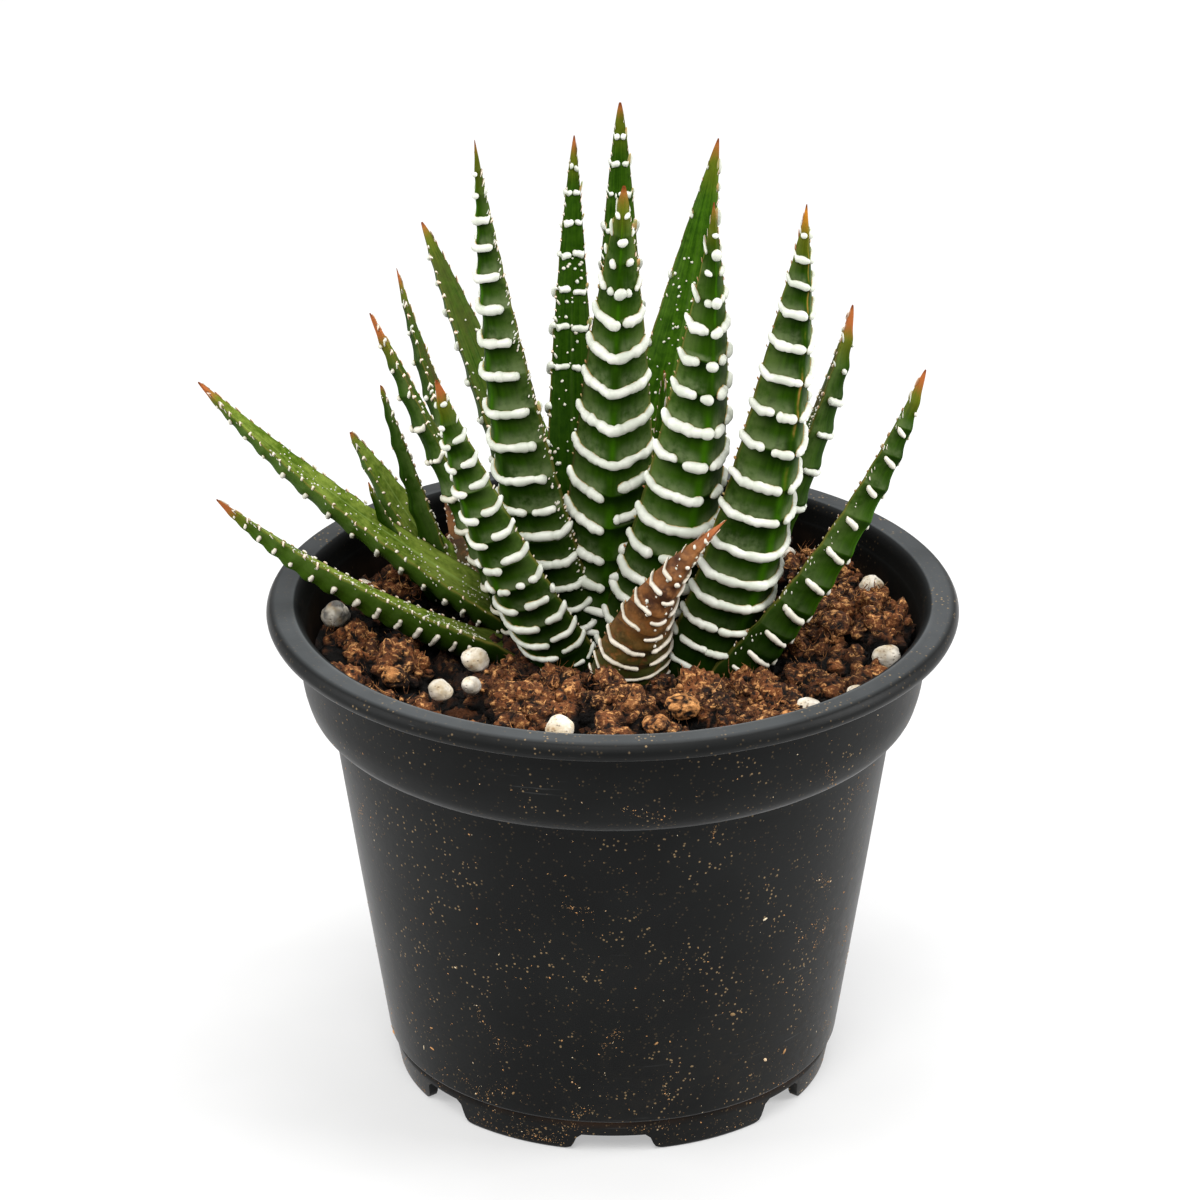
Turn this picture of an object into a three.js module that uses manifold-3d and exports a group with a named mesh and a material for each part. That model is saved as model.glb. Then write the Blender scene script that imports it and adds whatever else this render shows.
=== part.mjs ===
// A zebra-striped haworthia standing in a round plastic nursery pot.
// Millimetres, +Z up, the pot stands on z = 0 and the whole plant's box is centred on the origin.
import * as THREE from 'three';
import { mergeVertices } from 'three/addons/utils/BufferGeometryUtils.js';
import Module from 'manifold-3d';

const wasm = await Module();
wasm.setup();

// ---------------------------------------------------------------- driving dimensions

const GAP = 0.3; // clearance between pieces that touch
const ROUND_SIDES = 48; // sides of the pot

const POT = {
  height: 78.5,
  lipRadius: 52.8, // widest point of the rolled rim, a 10.5 cm pot
  lipDepth: 2.7, // height of the rim's outer edge
  lipRound: 0.6, // how much its corners are rounded
  mouthRadius: 47.6, // inner edge of the rim
  ledgeRadius: 49.7, // narrow step under the rim
  ledgeDepth: 0.9,
  collarTop: 48.1, // collar below the rim, slightly tapered
  collarBottom: 47.0,
  collarEnd: 60.2, // height at which the collar turns in to the body
  collarRound: 4.6, // how high the rounded lower edge of the collar reaches
  bodyTop: 43.2,
  bodyBottom: 35.3,
  footTop: 34.8, // foot ring, set in by a fine step
  footBottom: 33.7,
  stepHeight: 5.7, // height of that step
  footWidth: 1.6, // of the ring, at the ground
  floorUnder: 3.4, // underside of the floor, and top of the foot's notches
  floorTop: 5.0,
  wall: 1.1,
};
const NOTCH_WIDE = 5.6; // half width of a notch in the foot ring, at its top
const NOTCH_NARROW = 3.9;
const NOTCH_SPLAY = 1.2; // how much wider each side is at the ground
const NOTCHES = [
  [0, NOTCH_WIDE],
  [50, NOTCH_NARROW],
  [90, NOTCH_WIDE],
  [130, NOTCH_NARROW],
  [180, NOTCH_WIDE],
  [230, NOTCH_NARROW],
  [270, NOTCH_WIDE],
  [310, NOTCH_NARROW],
]; // [degrees from the front, half width]
const DRAIN = { count: 8, ring: 22, radius: 2.2, sides: 8 };

const SOIL = {
  level: 69.5, // mean height of the surface
  sides: 36,
  rings: 8, // rings of points across the surface, out from the pit
  clods: 120, // lumps pressed side by side, set out on a sunflower spiral
  spiral: 2.39996, // turn from one lump to the next, radians
  spread: 46, // radius that they fill
  clodSmall: 3.0,
  clodLarge: 6.2,
  low: 1.4, // depth of the gaps between lumps, under the mean height
  rise: 2.8, // how far a lump stands over the gaps round it
  heap: 3.2, // height and radius of the heap about the rosette's feet
  heapRadius: 34,
  pitRadius: 13, // plain hole that the rosette's heart stands in
  pitDepth: 9,
};
const HEAP = [2, 2]; // middle of that heap
const BIG_CLODS = [
  [-11.5, -19, 7.0, 4.6],
  [1.5, -23, 5.4, 3.8],
  [24, -19.5, 6.0, 4.0],
  [-30, -24, 5.6, 3.6],
  [33, 10, 6.6, 3.8],
  [-12, 34, 7.0, 4.2],
  [19, 36, 6.4, 4.0],
]; // [x, y, radius, rise] from the pot's axis

const PERLITE = [
  [-41.8, 5.2, 2.4],
  [-20.9, -9.6, 2.1],
  [-26.2, -20.2, 2.1],
  [-20.6, -18.4, 1.4],
  [-7.8, -33.2, 2.3],
  [30.4, -23.4, 1.9],
  [41.0, -8.6, 2.2],
  [39.2, 17, 2.0],
  [-39, 17.5, 1.8],
  [-4, 39, 2.3],
  [29, 30, 1.7],
  [36.5, -19.5, 1.4],
]; // [x, y, radius] from the pot's axis

const HEART = [1, 9]; // axis of the rosette, from the pot's axis
const PUP = [-23.5, 22.5]; // axis of the small offset beside it
const STEM = { radius: 4.2, top: 0.5, bottom: -15, sides: 12 }; // heights from the soil's surface
const PUP_STEM = { radius: 1.4, top: -1.5, bottom: -9, sides: 8 };

const LEAF = {
  taper: 0.62, // width falls as (1 - t) to this power
  thickness: 0.4, // of the width, at the foot
  thicknessGain: 0.12, // added towards the tip
  inside: 0.4, // share of the thickness on the hollow side of the middle line
  channel: 0.05, // depth of the hollow face, of the width
  heelWidth: 0.42, // of the width, where the leaf joins the stem
  heelThickness: 0.3, // of the thickness at the foot
  heelDrop: 0.55, // the heel starts deeper by this much for each millimetre from the stem
  keelRate: 1.2, // how fast the round back sharpens to a keel towards the tip
  bandPitch: 5.2, // mean distance between bands
  bandEase: 0.2, // bands stand further apart below and closer above by this share
  bandRise: 0.9,
  bandHalf: 0.85, // half the width of a band
  edgeRise: 0.5, // share of the rise at the leaf's edges
  sideways: 0.7, // how far the bands stand out past the edges, as a share of the rise
  dotRise: 0.8, // share of the rise that a dot has
  innerFrom: 0.4, // part of the length above which bands cross the hollow face, on leaves that have them
  innerRise: 0.8,
  dotsFrom: 0.58, // above this part of the length a band breaks up into dots
  bareTip: 0.93, // no bands above this
  heelStation: -0.4, // the ring part-way down the heel
  lastStation: 0.965, // the last ring before the point
  youngStations: [0.05, 0.3, 0.6, 0.85],
};
// u runs across the leaf, from one edge over its keeled back to the other edge
const BROAD_ACROSS = [-1, -0.66, -0.33, 0, 0.33, 0.66, 1];
const MIDDLE_ACROSS = [-1, -0.5, 0, 0.5, 1];
const NARROW_ACROSS = [-1, 0, 1];
const NARROW = 10.5; // leaves up to this width have the fewest points across

// foot: where the leaf leaves the soil; tip: its point, the last value above the soil; both from the
// pot's axis. bow: how far the middle stands out from the straight line, and sway how far to its left
// seen from the heart; turn: degrees by which its back is turned about its length; fine: bands modelled
// with flat ground between them; broad: more points across; young: no bands yet; inner: bands cross the
// upper half of its hollow face too.
const LEAVES = [
  // the heart of the rosette
  { foot: [2, 6], tip: [4, 10, 56], bow: 1, width: 7, young: true },
  { foot: [-2, 11], tip: [-1, 16, 50], bow: 1, width: 7, young: true },
  { foot: [5, 12], tip: [8, 15, 40], bow: 1, width: 7, young: true },
  // upright leaves round it
  { foot: [-1, 1], tip: [1.7, -8, 78.5], bow: 2.5, width: 16.5, taper: 0.56, fine: true, broad: true },
  { foot: [1, 18], tip: [1.3, 38, 75.5], bow: 2, width: 12, inner: true },
  { foot: [-6, 17], tip: [-5.8, 34, 71.5], bow: 2, width: 11.5, taper: 0.7, inner: true },
  { foot: [3.5, 16], tip: [16.5, 34, 71], bow: 1, width: 19.5, taper: 0.78 },
  { foot: [-8, 3], tip: [-20.1, -9, 86], bow: 2, width: 18.5, taper: 0.88, turn: -16, fine: true, broad: true },
  { foot: [5, -2], tip: [14.7, -15, 78.5], bow: 3.5, width: 17, turn: 12, sway: 1.2, fine: true, broad: true },
  { foot: [-7, 18], tip: [-29.4, 28, 59.5], bow: 0, width: 12.5 },
  { foot: [-12, 10], tip: [-33, 20, 55], bow: 2.2, width: 10.5, taper: 0.78 },
  { foot: [13.5, 7], tip: [36.3, 8, 53.5], bow: 3.5, width: 14.5 },
  // outer leaves, leaning further out
  { foot: [15, -6], tip: [28.2, -14, 77.8], bow: 3.5, width: 18, sway: 0.6, turn: -6, fine: true, broad: true },
  { foot: [-8, -3], tip: [-26, -17, 51.5], bow: 2.5, width: 14.5, fine: true },
  { foot: [-14, 7], tip: [-36.8, 10, 51.5], bow: -0.2, width: 10.5 },
  { foot: [19.5, -7], tip: [46.8, -4, 47.8], bow: 3, width: 12.5, fine: true },
  { foot: [-16, 11], tip: [-63.9, 18, 37], bow: 2.4, width: 11.7, fine: true },
  { foot: [-20, 1], tip: [-59.9, -4, 26.8], bow: 2.2, width: 11, fine: true },
  { foot: [4, -9], tip: [17, -16, 28.5], bow: 1, width: 13.5, taper: 0.75, sway: -3, withered: true, fine: true },
  // leaves at the back
  { foot: [-6, 26], tip: [-17, 46, 36], bow: 4, width: 11 },
  { foot: [3, 27], tip: [1, 56, 42], bow: 4, width: 12 },
  { foot: [10, 24], tip: [13, 50, 48], bow: 4, width: 11 },
  { foot: [17, 18], tip: [28, 28, 42], bow: 2, width: 9.5 },
  { foot: [15, 24], tip: [22, 43, 14], bow: 2, width: 9.5 },
  // the offset
  { pup: true, foot: [-25, 21], tip: [-36.3, 22, 34.8], bow: 0.2, width: 9 },
  { pup: true, foot: [-25.5, 24.5], tip: [-41, 26, 25.2], bow: 0.5, width: 10.5 },
  { pup: true, foot: [-26.5, 18.5], tip: [-37.8, 16, 21], bow: 1.5, width: 6 },
  { pup: true, foot: [-21, 26], tip: [-27, 36, 17], bow: 1, width: 7, withered: true },
];

const COLOURS = {
  pot: { color: 0x232425, roughness: 0.5, metalness: 0 },
  soil: { color: 0x6b4028, roughness: 0.95, metalness: 0 },
  stem: { color: 0x8a9a62, roughness: 0.6, metalness: 0 },
  leaf: { color: 0x3f6a26, roughness: 0.42, metalness: 0 },
  withered: { color: 0x7a4526, roughness: 0.6, metalness: 0 },
  perlite: { color: 0xe4ddd0, roughness: 0.9, metalness: 0 },
};

// ---------------------------------------------------------------- solids and small helpers

// a repeatable number from 0 to 1 for each whole n
function draw(n) {
  const s = Math.sin(n * 127.1 + 11.7) * 43758.5453;
  return s - Math.floor(s);
}

const radians = THREE.MathUtils.degToRad;
const mix = THREE.MathUtils.lerp;

// a closed surface as a solid: equal corners are joined and empty faces dropped
function solid(geometry) {
  const bare = new THREE.BufferGeometry().setAttribute('position', geometry.getAttribute('position'));
  bare.setIndex(geometry.index);
  const merged = mergeVertices(bare, 1e-4);
  const faces = [];
  for (let i = 0; i < merged.index.count; i += 3) {
    const [a, b, c] = [0, 1, 2].map((k) => merged.index.getX(i + k));
    if (a !== b && b !== c && c !== a) faces.push(a, b, c);
  }
  const vertProperties = new Float32Array(merged.getAttribute('position').array);
  return new wasm.Manifold(new wasm.Mesh({ numProp: 3, vertProperties, triVerts: new Uint32Array(faces) }));
}

// the largest of a solid's bodies, without crumbs that a cut left
function mainBody(body) {
  return body.decompose().sort((a, b) => b.volume() - a.volume())[0];
}

function meshOf(name, body, finish) {
  const { vertProperties, triVerts } = mainBody(body).getMesh();
  const geometry = new THREE.BufferGeometry();
  geometry.setAttribute('position', new THREE.BufferAttribute(new Float32Array(vertProperties), 3));
  geometry.setIndex(new THREE.BufferAttribute(new Uint32Array(triVerts), 1));
  geometry.computeVertexNormals();
  const mesh = new THREE.Mesh(geometry, new THREE.MeshStandardMaterial(COLOURS[finish]));
  mesh.name = name;
  return mesh;
}

// a turned solid about +Z from [radius, height] points, going up its outside
function turned(points, sides) {
  const profile = [...points, points[0]].map(([r, z]) => new THREE.Vector2(r, z));
  return solid(new THREE.LatheGeometry(profile, sides).rotateX(Math.PI / 2));
}

// ---------------------------------------------------------------- pot

function potWall() {
  const p = POT;
  const lipBottom = p.height - p.lipDepth;
  const ledgeBottom = lipBottom - p.ledgeDepth;
  const crease = 0.3; // height of the small ledges where one part of the wall meets the next
  const outside = [
    [p.footBottom, 0],
    [p.footTop, p.stepHeight],
    [p.bodyBottom, p.stepHeight + crease],
    [p.bodyTop, p.collarEnd],
    [p.bodyTop + 3 * crease, p.collarEnd + crease],
    [p.collarBottom - 1.1, p.collarEnd + 0.4 * p.collarRound],
    [p.collarBottom, p.collarEnd + p.collarRound],
    [p.collarTop, ledgeBottom - crease],
    [p.ledgeRadius, ledgeBottom],
    [p.ledgeRadius, lipBottom],
    [p.lipRadius - p.lipRound, lipBottom],
    [p.lipRadius, lipBottom + p.lipRound],
    [p.lipRadius - 0.2, p.height - p.lipRound],
    [p.lipRadius - 2 * p.lipRound, p.height],
  ];
  const inside = [
    [p.mouthRadius, p.height - p.lipRound],
    [p.collarTop - p.wall, ledgeBottom - crease],
    [p.collarBottom - p.wall, p.collarEnd + p.collarRound],
    [p.bodyTop - p.wall, p.collarEnd - 2 * crease],
    [p.bodyBottom - p.wall, p.floorTop],
    [0, p.floorTop],
    [0, p.floorUnder],
    [p.footTop - 1.5 * p.footWidth, p.floorUnder],
    [p.footBottom - p.footWidth, 0],
  ];
  return turned([...outside, ...inside], ROUND_SIDES);
}

// a notch is a gate cut out through the foot ring, wider at the ground than at its top
function notch(degrees, halfWidth) {
  const gate = new THREE.Shape([
    new THREE.Vector2(-halfWidth - NOTCH_SPLAY, -1),
    new THREE.Vector2(halfWidth + NOTCH_SPLAY, -1),
    new THREE.Vector2(halfWidth, POT.floorUnder),
    new THREE.Vector2(-halfWidth, POT.floorUnder),
  ]);
  const cutter = new THREE.ExtrudeGeometry(gate, { depth: 10, bevelEnabled: false });
  cutter.rotateX(Math.PI / 2).translate(0, 5 - POT.footBottom, 0).rotateZ(radians(degrees));
  return solid(cutter);
}

function drainHole(index) {
  const hole = new THREE.CylinderGeometry(DRAIN.radius, DRAIN.radius, 6, DRAIN.sides);
  hole.rotateX(Math.PI / 2).translate(DRAIN.ring, 0, POT.floorUnder);
  return solid(hole.rotateZ(((index + 0.5) / DRAIN.count) * 2 * Math.PI));
}

function makePot() {
  const cuts = NOTCHES.map(([degrees, halfWidth]) => notch(degrees, halfWidth));
  for (let i = 0; i < DRAIN.count; i++) cuts.push(drainHole(i));
  return wasm.Manifold.difference([potWall(), ...cuts]);
}

// ---------------------------------------------------------------- leaves

// The middle line of a leaf. From t = 0 at the foot to t = 1 at the tip it is a quadratic curve, bowed
// out from the heart; from t = -1 to 0 it is the heel, which leads from the stem below the soil.
function spine(leaf) {
  const foot = new THREE.Vector3(...leaf.foot, SOIL.level);
  const tip = new THREE.Vector3(leaf.tip[0], leaf.tip[1], SOIL.level + leaf.tip[2]);
  const heart = new THREE.Vector3(...(leaf.pup ? PUP : HEART), SOIL.level);
  const stem = leaf.pup ? PUP_STEM : STEM;
  const chord = tip.clone().sub(foot).normalize();
  const outward = foot.clone().add(tip).multiplyScalar(0.5).sub(heart).setZ(0).normalize();
  const bowed = outward.clone().addScaledVector(chord, -outward.dot(chord)).normalize();
  const middle = foot.clone().add(tip).multiplyScalar(0.5).addScaledVector(bowed, 2 * leaf.bow);
  middle.addScaledVector(chord.clone().cross(bowed), 2 * (leaf.sway ?? 0));

  const fromHeart = foot.clone().sub(heart);
  const depth = 1 + LEAF.heelDrop * fromHeart.length();
  const heel = heart.clone().addScaledVector(fromHeart.normalize(), stem.radius + 2 * GAP);
  heel.z -= Math.min(depth, -stem.bottom - 2);
  const reach = 0.5 * heel.distanceTo(foot);
  const under = foot.clone().addScaledVector(middle.clone().sub(foot).normalize(), -reach);

  const blade = new THREE.QuadraticBezierCurve3(foot, middle, tip);
  const buried = new THREE.QuadraticBezierCurve3(heel, under, foot);
  const length = blade.getLength();
  const at = (t) => {
    const curve = t < 0 ? buried : blade;
    const s = t < 0 ? t + 1 : t;
    return { point: curve.getPoint(s), along: curve.getTangent(s) };
  };
  return { at, outward, length };
}

function leafWidth(leaf, t) {
  if (t < 0) return leaf.width * mix(1, LEAF.heelWidth, -t);
  return leaf.width * (1 - t) ** (leaf.taper ?? LEAF.taper);
}

function leafThickness(leaf, t) {
  if (t < 0) return leaf.width * LEAF.thickness * mix(1, LEAF.heelThickness, -t);
  return leafWidth(leaf, t) * (LEAF.thickness + LEAF.thicknessGain * t);
}

// where the bands cross the leaf, as parts of its length
function bandPlaces(length) {
  const count = Math.round(length / LEAF.bandPitch);
  const places = [];
  for (let i = 0; i < count; i++) {
    const x = (i + 0.5) / count;
    const t = x * (1 + LEAF.bandEase - LEAF.bandEase * x);
    if (t < LEAF.bareTip) places.push(t);
  }
  return places;
}

// stations along the leaf, as [t, row], where row is the band's number on its crest and -1 elsewhere
function stations(leaf, length) {
  const list = [[-1, -1], [LEAF.heelStation, -1]];
  const bands = leaf.young ? [] : bandPlaces(length);
  if (leaf.young) LEAF.youngStations.forEach((t) => list.push([t, -1]));
  const half = LEAF.bandHalf / length;
  bands.forEach((t, row) => {
    if (leaf.fine && t < LEAF.dotsFrom) list.push([t - half, -1], [t, row], [t + half, -1]);
    else list.push([mix(bands[row - 1] ?? 0, t, 0.5), -1], [t, row]);
  });
  list.push([LEAF.lastStation, -1]);
  return list;
}

// Height of the white relief on one column of the back: a whole band low down, and above dotsFrom
// dots that stand on every other column, by turns.
function relief(column, columns, t, row) {
  if (row < 0) return 0;
  const edge = column === 0 || column === columns - 1;
  if (t < LEAF.dotsFrom) return LEAF.bandRise * (edge ? LEAF.edgeRise : 1);
  return column % 2 === row % 2 ? LEAF.bandRise * LEAF.dotRise : 0;
}

// One closed ring of points round the leaf: over its keeled back, then along its hollow face. With
// room the ring stands off by that much, over the height of the bands, and is flat where it is hollow.
function ring(leaf, path, t, row, room = 0) {
  const { point, along } = path.at(t);
  const few = leaf.width > NARROW ? MIDDLE_ACROSS : NARROW_ACROSS;
  const across = leaf.broad ? BROAD_ACROSS : few;
  const back = path.outward.clone().addScaledVector(along, -path.outward.dot(along)).normalize();
  back.applyAxisAngle(along, radians(leaf.turn ?? 0));
  const side = along.clone().cross(back);
  const half = leafWidth(leaf, t) / 2 + room;
  const thick = leafThickness(leaf, t) + 2 * room;
  const keel = THREE.MathUtils.clamp(t * LEAF.keelRate, 0, 1);
  const inside = -LEAF.inside * leafThickness(leaf, t) - room;
  const points = across.map((u, column) => {
    const flat = mix(Math.sin((u * Math.PI) / 2), u, keel);
    const out = mix(Math.cos((u * Math.PI) / 2), 1 - Math.abs(u), keel);
    const rise = room > 0 ? LEAF.bandRise : relief(column, across.length, t, row);
    return point
      .clone()
      .addScaledVector(side, half * flat + rise * u * LEAF.sideways)
      .addScaledVector(back, inside + thick * out + rise * (1 - 0.5 * Math.abs(u)));
  });
  const banded = leaf.inner && t > LEAF.innerFrom && row >= 0;
  const hollow = room > 0 ? 0 : LEAF.channel * leafWidth(leaf, t) - (banded ? LEAF.innerRise : 0);
  points.push(point.clone().addScaledVector(back, inside + hollow));
  return points;
}

// rings joined into one closed skin, with a flat heel and a pointed tip
function skin(rings, tip) {
  const size = rings[0].length;
  const positions = rings.flat().flatMap((p) => p.toArray());
  const faces = [];
  for (let i = 0; i + 1 < rings.length; i++) {
    for (let j = 0; j < size; j++) {
      const a = i * size + j;
      const b = i * size + ((j + 1) % size);
      faces.push(a, b, b + size, a, b + size, a + size);
    }
  }
  const last = (rings.length - 1) * size;
  positions.push(...tip.toArray());
  for (let j = 0; j < size; j++) faces.push(last + j, last + ((j + 1) % size), rings.length * size);
  for (let j = 1; j + 1 < size; j++) faces.push(0, j + 1, j);
  const geometry = new THREE.BufferGeometry();
  geometry.setAttribute('position', new THREE.Float32BufferAttribute(positions, 3));
  geometry.setIndex(faces);
  return solid(geometry);
}

function leafBody(leaf) {
  const path = spine(leaf);
  const rings = stations(leaf, path.length).map(([t, row]) => ring(leaf, path, t, row));
  return skin(rings, path.at(1).point);
}

// The room that a leaf takes up, bands and gap included. Its neighbours keep out of the whole of it,
// and the soil out of its low part.
const WHOLE = [0.15, 0.3, 0.45, 0.6, 0.73, 0.84, 0.92, 0.98];
const LOW = [0.15, 0.35];
function leafRoom(leaf, places, room) {
  const path = spine(leaf);
  const heel = stations(leaf, path.length).slice(0, 3).map(([t]) => t);
  const rings = [...heel, ...places].map((t) => ring(leaf, path, t, -1, room));
  return skin(rings, path.at(Math.min(1, places.at(-1) + 0.05)).point);
}

// ---------------------------------------------------------------- stem, soil and perlite

function makeStem(stem, axis) {
  const low = SOIL.level + stem.bottom;
  const high = SOIL.level + stem.top;
  const profile = [
    [0, low],
    [stem.radius * 0.7, low],
    [stem.radius, low + stem.radius * 0.7],
    [stem.radius, high - stem.radius * 0.7],
    [stem.radius * 0.6, high - stem.radius * 0.15],
    [0, high],
  ];
  return turned(profile, stem.sides).translate([...axis, 0]);
}

// the plain round room of a stem, with the gap all round it
function stemRoom(stem, axis) {
  const low = SOIL.level + stem.bottom - GAP;
  const high = SOIL.level + stem.top + GAP;
  const radius = (stem.radius + GAP) / Math.cos(Math.PI / stem.sides);
  const profile = [
    [0, low],
    [radius, low],
    [radius, high],
    [0, high],
  ];
  return turned(profile, stem.sides).translate([...axis, 0]);
}

// the surface is the highest of many domes, over a low heap about the rosette
function soilHeight(x, y) {
  let top = 0;
  const dome = (cx, cy, radius, rise) => {
    const d = Math.hypot(x - cx, y - cy) / radius;
    if (d < 1) top = Math.max(top, rise * Math.sqrt(1 - d * d));
  };
  for (let k = 0; k < SOIL.clods; k++) {
    const out = SOIL.spread * Math.sqrt((k + 0.5) / SOIL.clods) + 2 * draw(k) - 1;
    const turn = k * SOIL.spiral + 0.3 * draw(k + 500);
    const radius = mix(SOIL.clodSmall, SOIL.clodLarge, draw(k + 900));
    dome(out * Math.cos(turn), out * Math.sin(turn), radius, SOIL.rise * (0.5 + 0.5 * draw(k + 1300)));
  }
  BIG_CLODS.forEach((clod) => dome(...clod));
  const away = Math.hypot(x - HEAP[0], y - HEAP[1]) / SOIL.heapRadius;
  return SOIL.level - SOIL.low + top + SOIL.heap * Math.max(0, 1 - away * away);
}

function soilBlock() {
  const p = POT;
  const clear = p.wall + GAP + 0.1; // from the pot's outside to the soil
  const edge = p.collarTop - clear - 0.8;
  const round = (radius, height) =>
    Array.from({ length: SOIL.sides }, (_, i) => {
      const angle = Math.PI / 2 - (i / SOIL.sides) * 2 * Math.PI;
      const [x, y] = [radius * Math.cos(angle), radius * Math.sin(angle)];
      return new THREE.Vector3(x, y, typeof height === 'function' ? height(x, y) : height);
    });
  const rings = [
    round(p.bodyBottom - clear, p.floorTop + GAP),
    round(p.bodyTop - clear, p.collarEnd - GAP),
    round(p.collarBottom - clear, p.collarEnd + p.collarRound + GAP),
  ];
  for (let i = 0; i < SOIL.rings; i++) rings.push(round(edge * (1 - i / (SOIL.rings + 2)), soilHeight));
  return skin(rings.map((r) => r.reverse()), new THREE.Vector3(0, 0, soilHeight(0, 0)));
}

function grain([x, y, radius], index, grow) {
  const ball = new THREE.SphereGeometry(1, 7, 4);
  const at = ball.getAttribute('position');
  for (let i = 0; i < at.count; i++) {
    const p = new THREE.Vector3().fromBufferAttribute(at, i);
    const lump = 1 + 0.12 * Math.sin(3.1 * p.x + 2.3 * p.y + index) + 0.08 * Math.cos(4.7 * p.z - index);
    p.multiplyScalar(radius * lump + grow);
    at.setXYZ(i, p.x, p.y * (0.8 + 0.2 * draw(index)), p.z);
  }
  const height = soilHeight(x, y) + 0.3 * radius;
  return solid(ball.rotateZ(index).rotateX(0.4 * index).translate(x, y, height));
}

// ---------------------------------------------------------------- the plant in its pot

const plant = new THREE.Group();
plant.add(meshOf('pot', makePot(), 'pot'));

plant.add(meshOf('stem', makeStem(STEM, HEART), 'stem'));
plant.add(meshOf('offset_stem', makeStem(PUP_STEM, PUP), 'stem'));

// The leaves are made from the heart outwards, and each keeps clear of those it clasps.
const rooms = [stemRoom(STEM, HEART), stemRoom(PUP_STEM, PUP)];
const soilCuts = [...rooms];
LEAVES.forEach((leaf, i) => {
  const name = 'leaf_' + String(i + 1).padStart(2, '0');
  const body = wasm.Manifold.difference([leafBody(leaf), ...rooms]);
  plant.add(meshOf(name, body, leaf.withered ? 'withered' : 'leaf'));
  rooms.push(leafRoom(leaf, WHOLE, GAP + 0.15));
  soilCuts.push(leafRoom(leaf, LOW, GAP + 0.3));
});

PERLITE.forEach((spot, i) => {
  const name = 'perlite_' + String(i + 1).padStart(2, '0');
  plant.add(meshOf(name, grain(spot, i + 1, 0), 'perlite'));
  soilCuts.push(grain(spot, i + 1, GAP + 0.05));
});

// the hole in the soil in which the heart of the rosette stands
const pit = turned(
  [
    [0, SOIL.level - SOIL.pitDepth],
    [SOIL.pitRadius * 0.6, SOIL.level - SOIL.pitDepth],
    [SOIL.pitRadius, SOIL.level + 8],
    [0, SOIL.level + 8],
  ],
  12,
).translate([...HEART, 0]);
plant.add(meshOf('soil', wasm.Manifold.difference([soilBlock(), pit, ...soilCuts]), 'soil'));

// the box of the whole plant is centred over the origin
const middle = new THREE.Box3().setFromObject(plant).getCenter(new THREE.Vector3());
plant.children.forEach((mesh) => mesh.geometry.translate(-middle.x, -middle.y, 0));

export default plant;
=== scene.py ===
import math

import bpy
import numpy as np
from mathutils import Matrix, Vector


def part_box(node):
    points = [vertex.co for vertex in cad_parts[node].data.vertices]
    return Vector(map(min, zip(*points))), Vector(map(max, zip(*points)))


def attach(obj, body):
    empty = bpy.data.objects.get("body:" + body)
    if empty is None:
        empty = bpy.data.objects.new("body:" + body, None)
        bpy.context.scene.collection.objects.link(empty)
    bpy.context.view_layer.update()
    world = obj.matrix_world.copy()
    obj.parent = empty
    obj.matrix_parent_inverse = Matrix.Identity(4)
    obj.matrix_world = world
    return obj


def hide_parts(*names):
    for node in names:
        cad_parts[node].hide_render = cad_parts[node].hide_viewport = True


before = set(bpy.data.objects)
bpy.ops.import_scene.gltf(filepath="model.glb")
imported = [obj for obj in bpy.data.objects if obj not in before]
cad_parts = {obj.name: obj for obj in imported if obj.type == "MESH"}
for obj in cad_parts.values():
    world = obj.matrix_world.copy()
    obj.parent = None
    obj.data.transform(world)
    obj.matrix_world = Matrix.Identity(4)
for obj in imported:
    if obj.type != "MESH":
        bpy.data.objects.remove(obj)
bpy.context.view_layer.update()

# ---------------------------------------------------------------- studio
# A white sweep that glows a little, under soft light: a big soft light in front, one above, and a weak
# one on either side. The camera stands 0.8 m off and looks down by 24.5 degrees, as in the photograph.
MM = 0.001
pot_low, pot_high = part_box("pot")
AXIS = np.array([(pot_low.x + pot_high.x) / 2, (pot_low.y + pot_high.y) / 2, 0.0])  # the pot's axis

CAMERA_RISE, CAMERA_ROLL = math.radians(24.46), math.radians(-0.09)
CAMERA_DISTANCE, LENS, SENSOR = 801.0, 157.0, 36.0  # mm
AIM = Vector((-1.93, 0.0, 77.57))  # from the foot of the pot's axis, mm
SURROUND = 0.42  # how brightly the sweep and the room about it glow

back = Vector((0.0, -math.cos(CAMERA_RISE), math.sin(CAMERA_RISE)))
up = Vector((0.0, math.sin(CAMERA_RISE), math.cos(CAMERA_RISE)))
right = Vector((1.0, 0.0, 0.0))
rolled_right = math.cos(CAMERA_ROLL) * right + math.sin(CAMERA_ROLL) * up
rolled_up = math.cos(CAMERA_ROLL) * up - math.sin(CAMERA_ROLL) * right
camera = bpy.data.objects.new("camera", bpy.data.cameras.new("camera"))
camera.data.lens, camera.data.sensor_width = LENS, SENSOR
camera.data.clip_start, camera.data.clip_end = 0.05, 20.0
camera.matrix_world = Matrix.Translation(Vector(AXIS) + (AIM + back * CAMERA_DISTANCE) * MM) @ Matrix(
    (rolled_right, rolled_up, back)
).transposed().to_4x4()
bpy.context.scene.collection.objects.link(camera)
bpy.context.scene.camera = camera
bpy.context.scene.view_settings.view_transform = "Standard"


def colour(red, green, blue):
    """A colour as read off a picture, 0 to 255, made linear: ((c + 0.055) / 1.055) ** 2.4."""
    c = np.array([red, green, blue]) / 255
    linear = np.where(c <= 0.04045, c / 12.92, ((c + 0.055) / 1.055) ** 2.4)
    return (*(float(x) for x in linear), 1.0)


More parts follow.
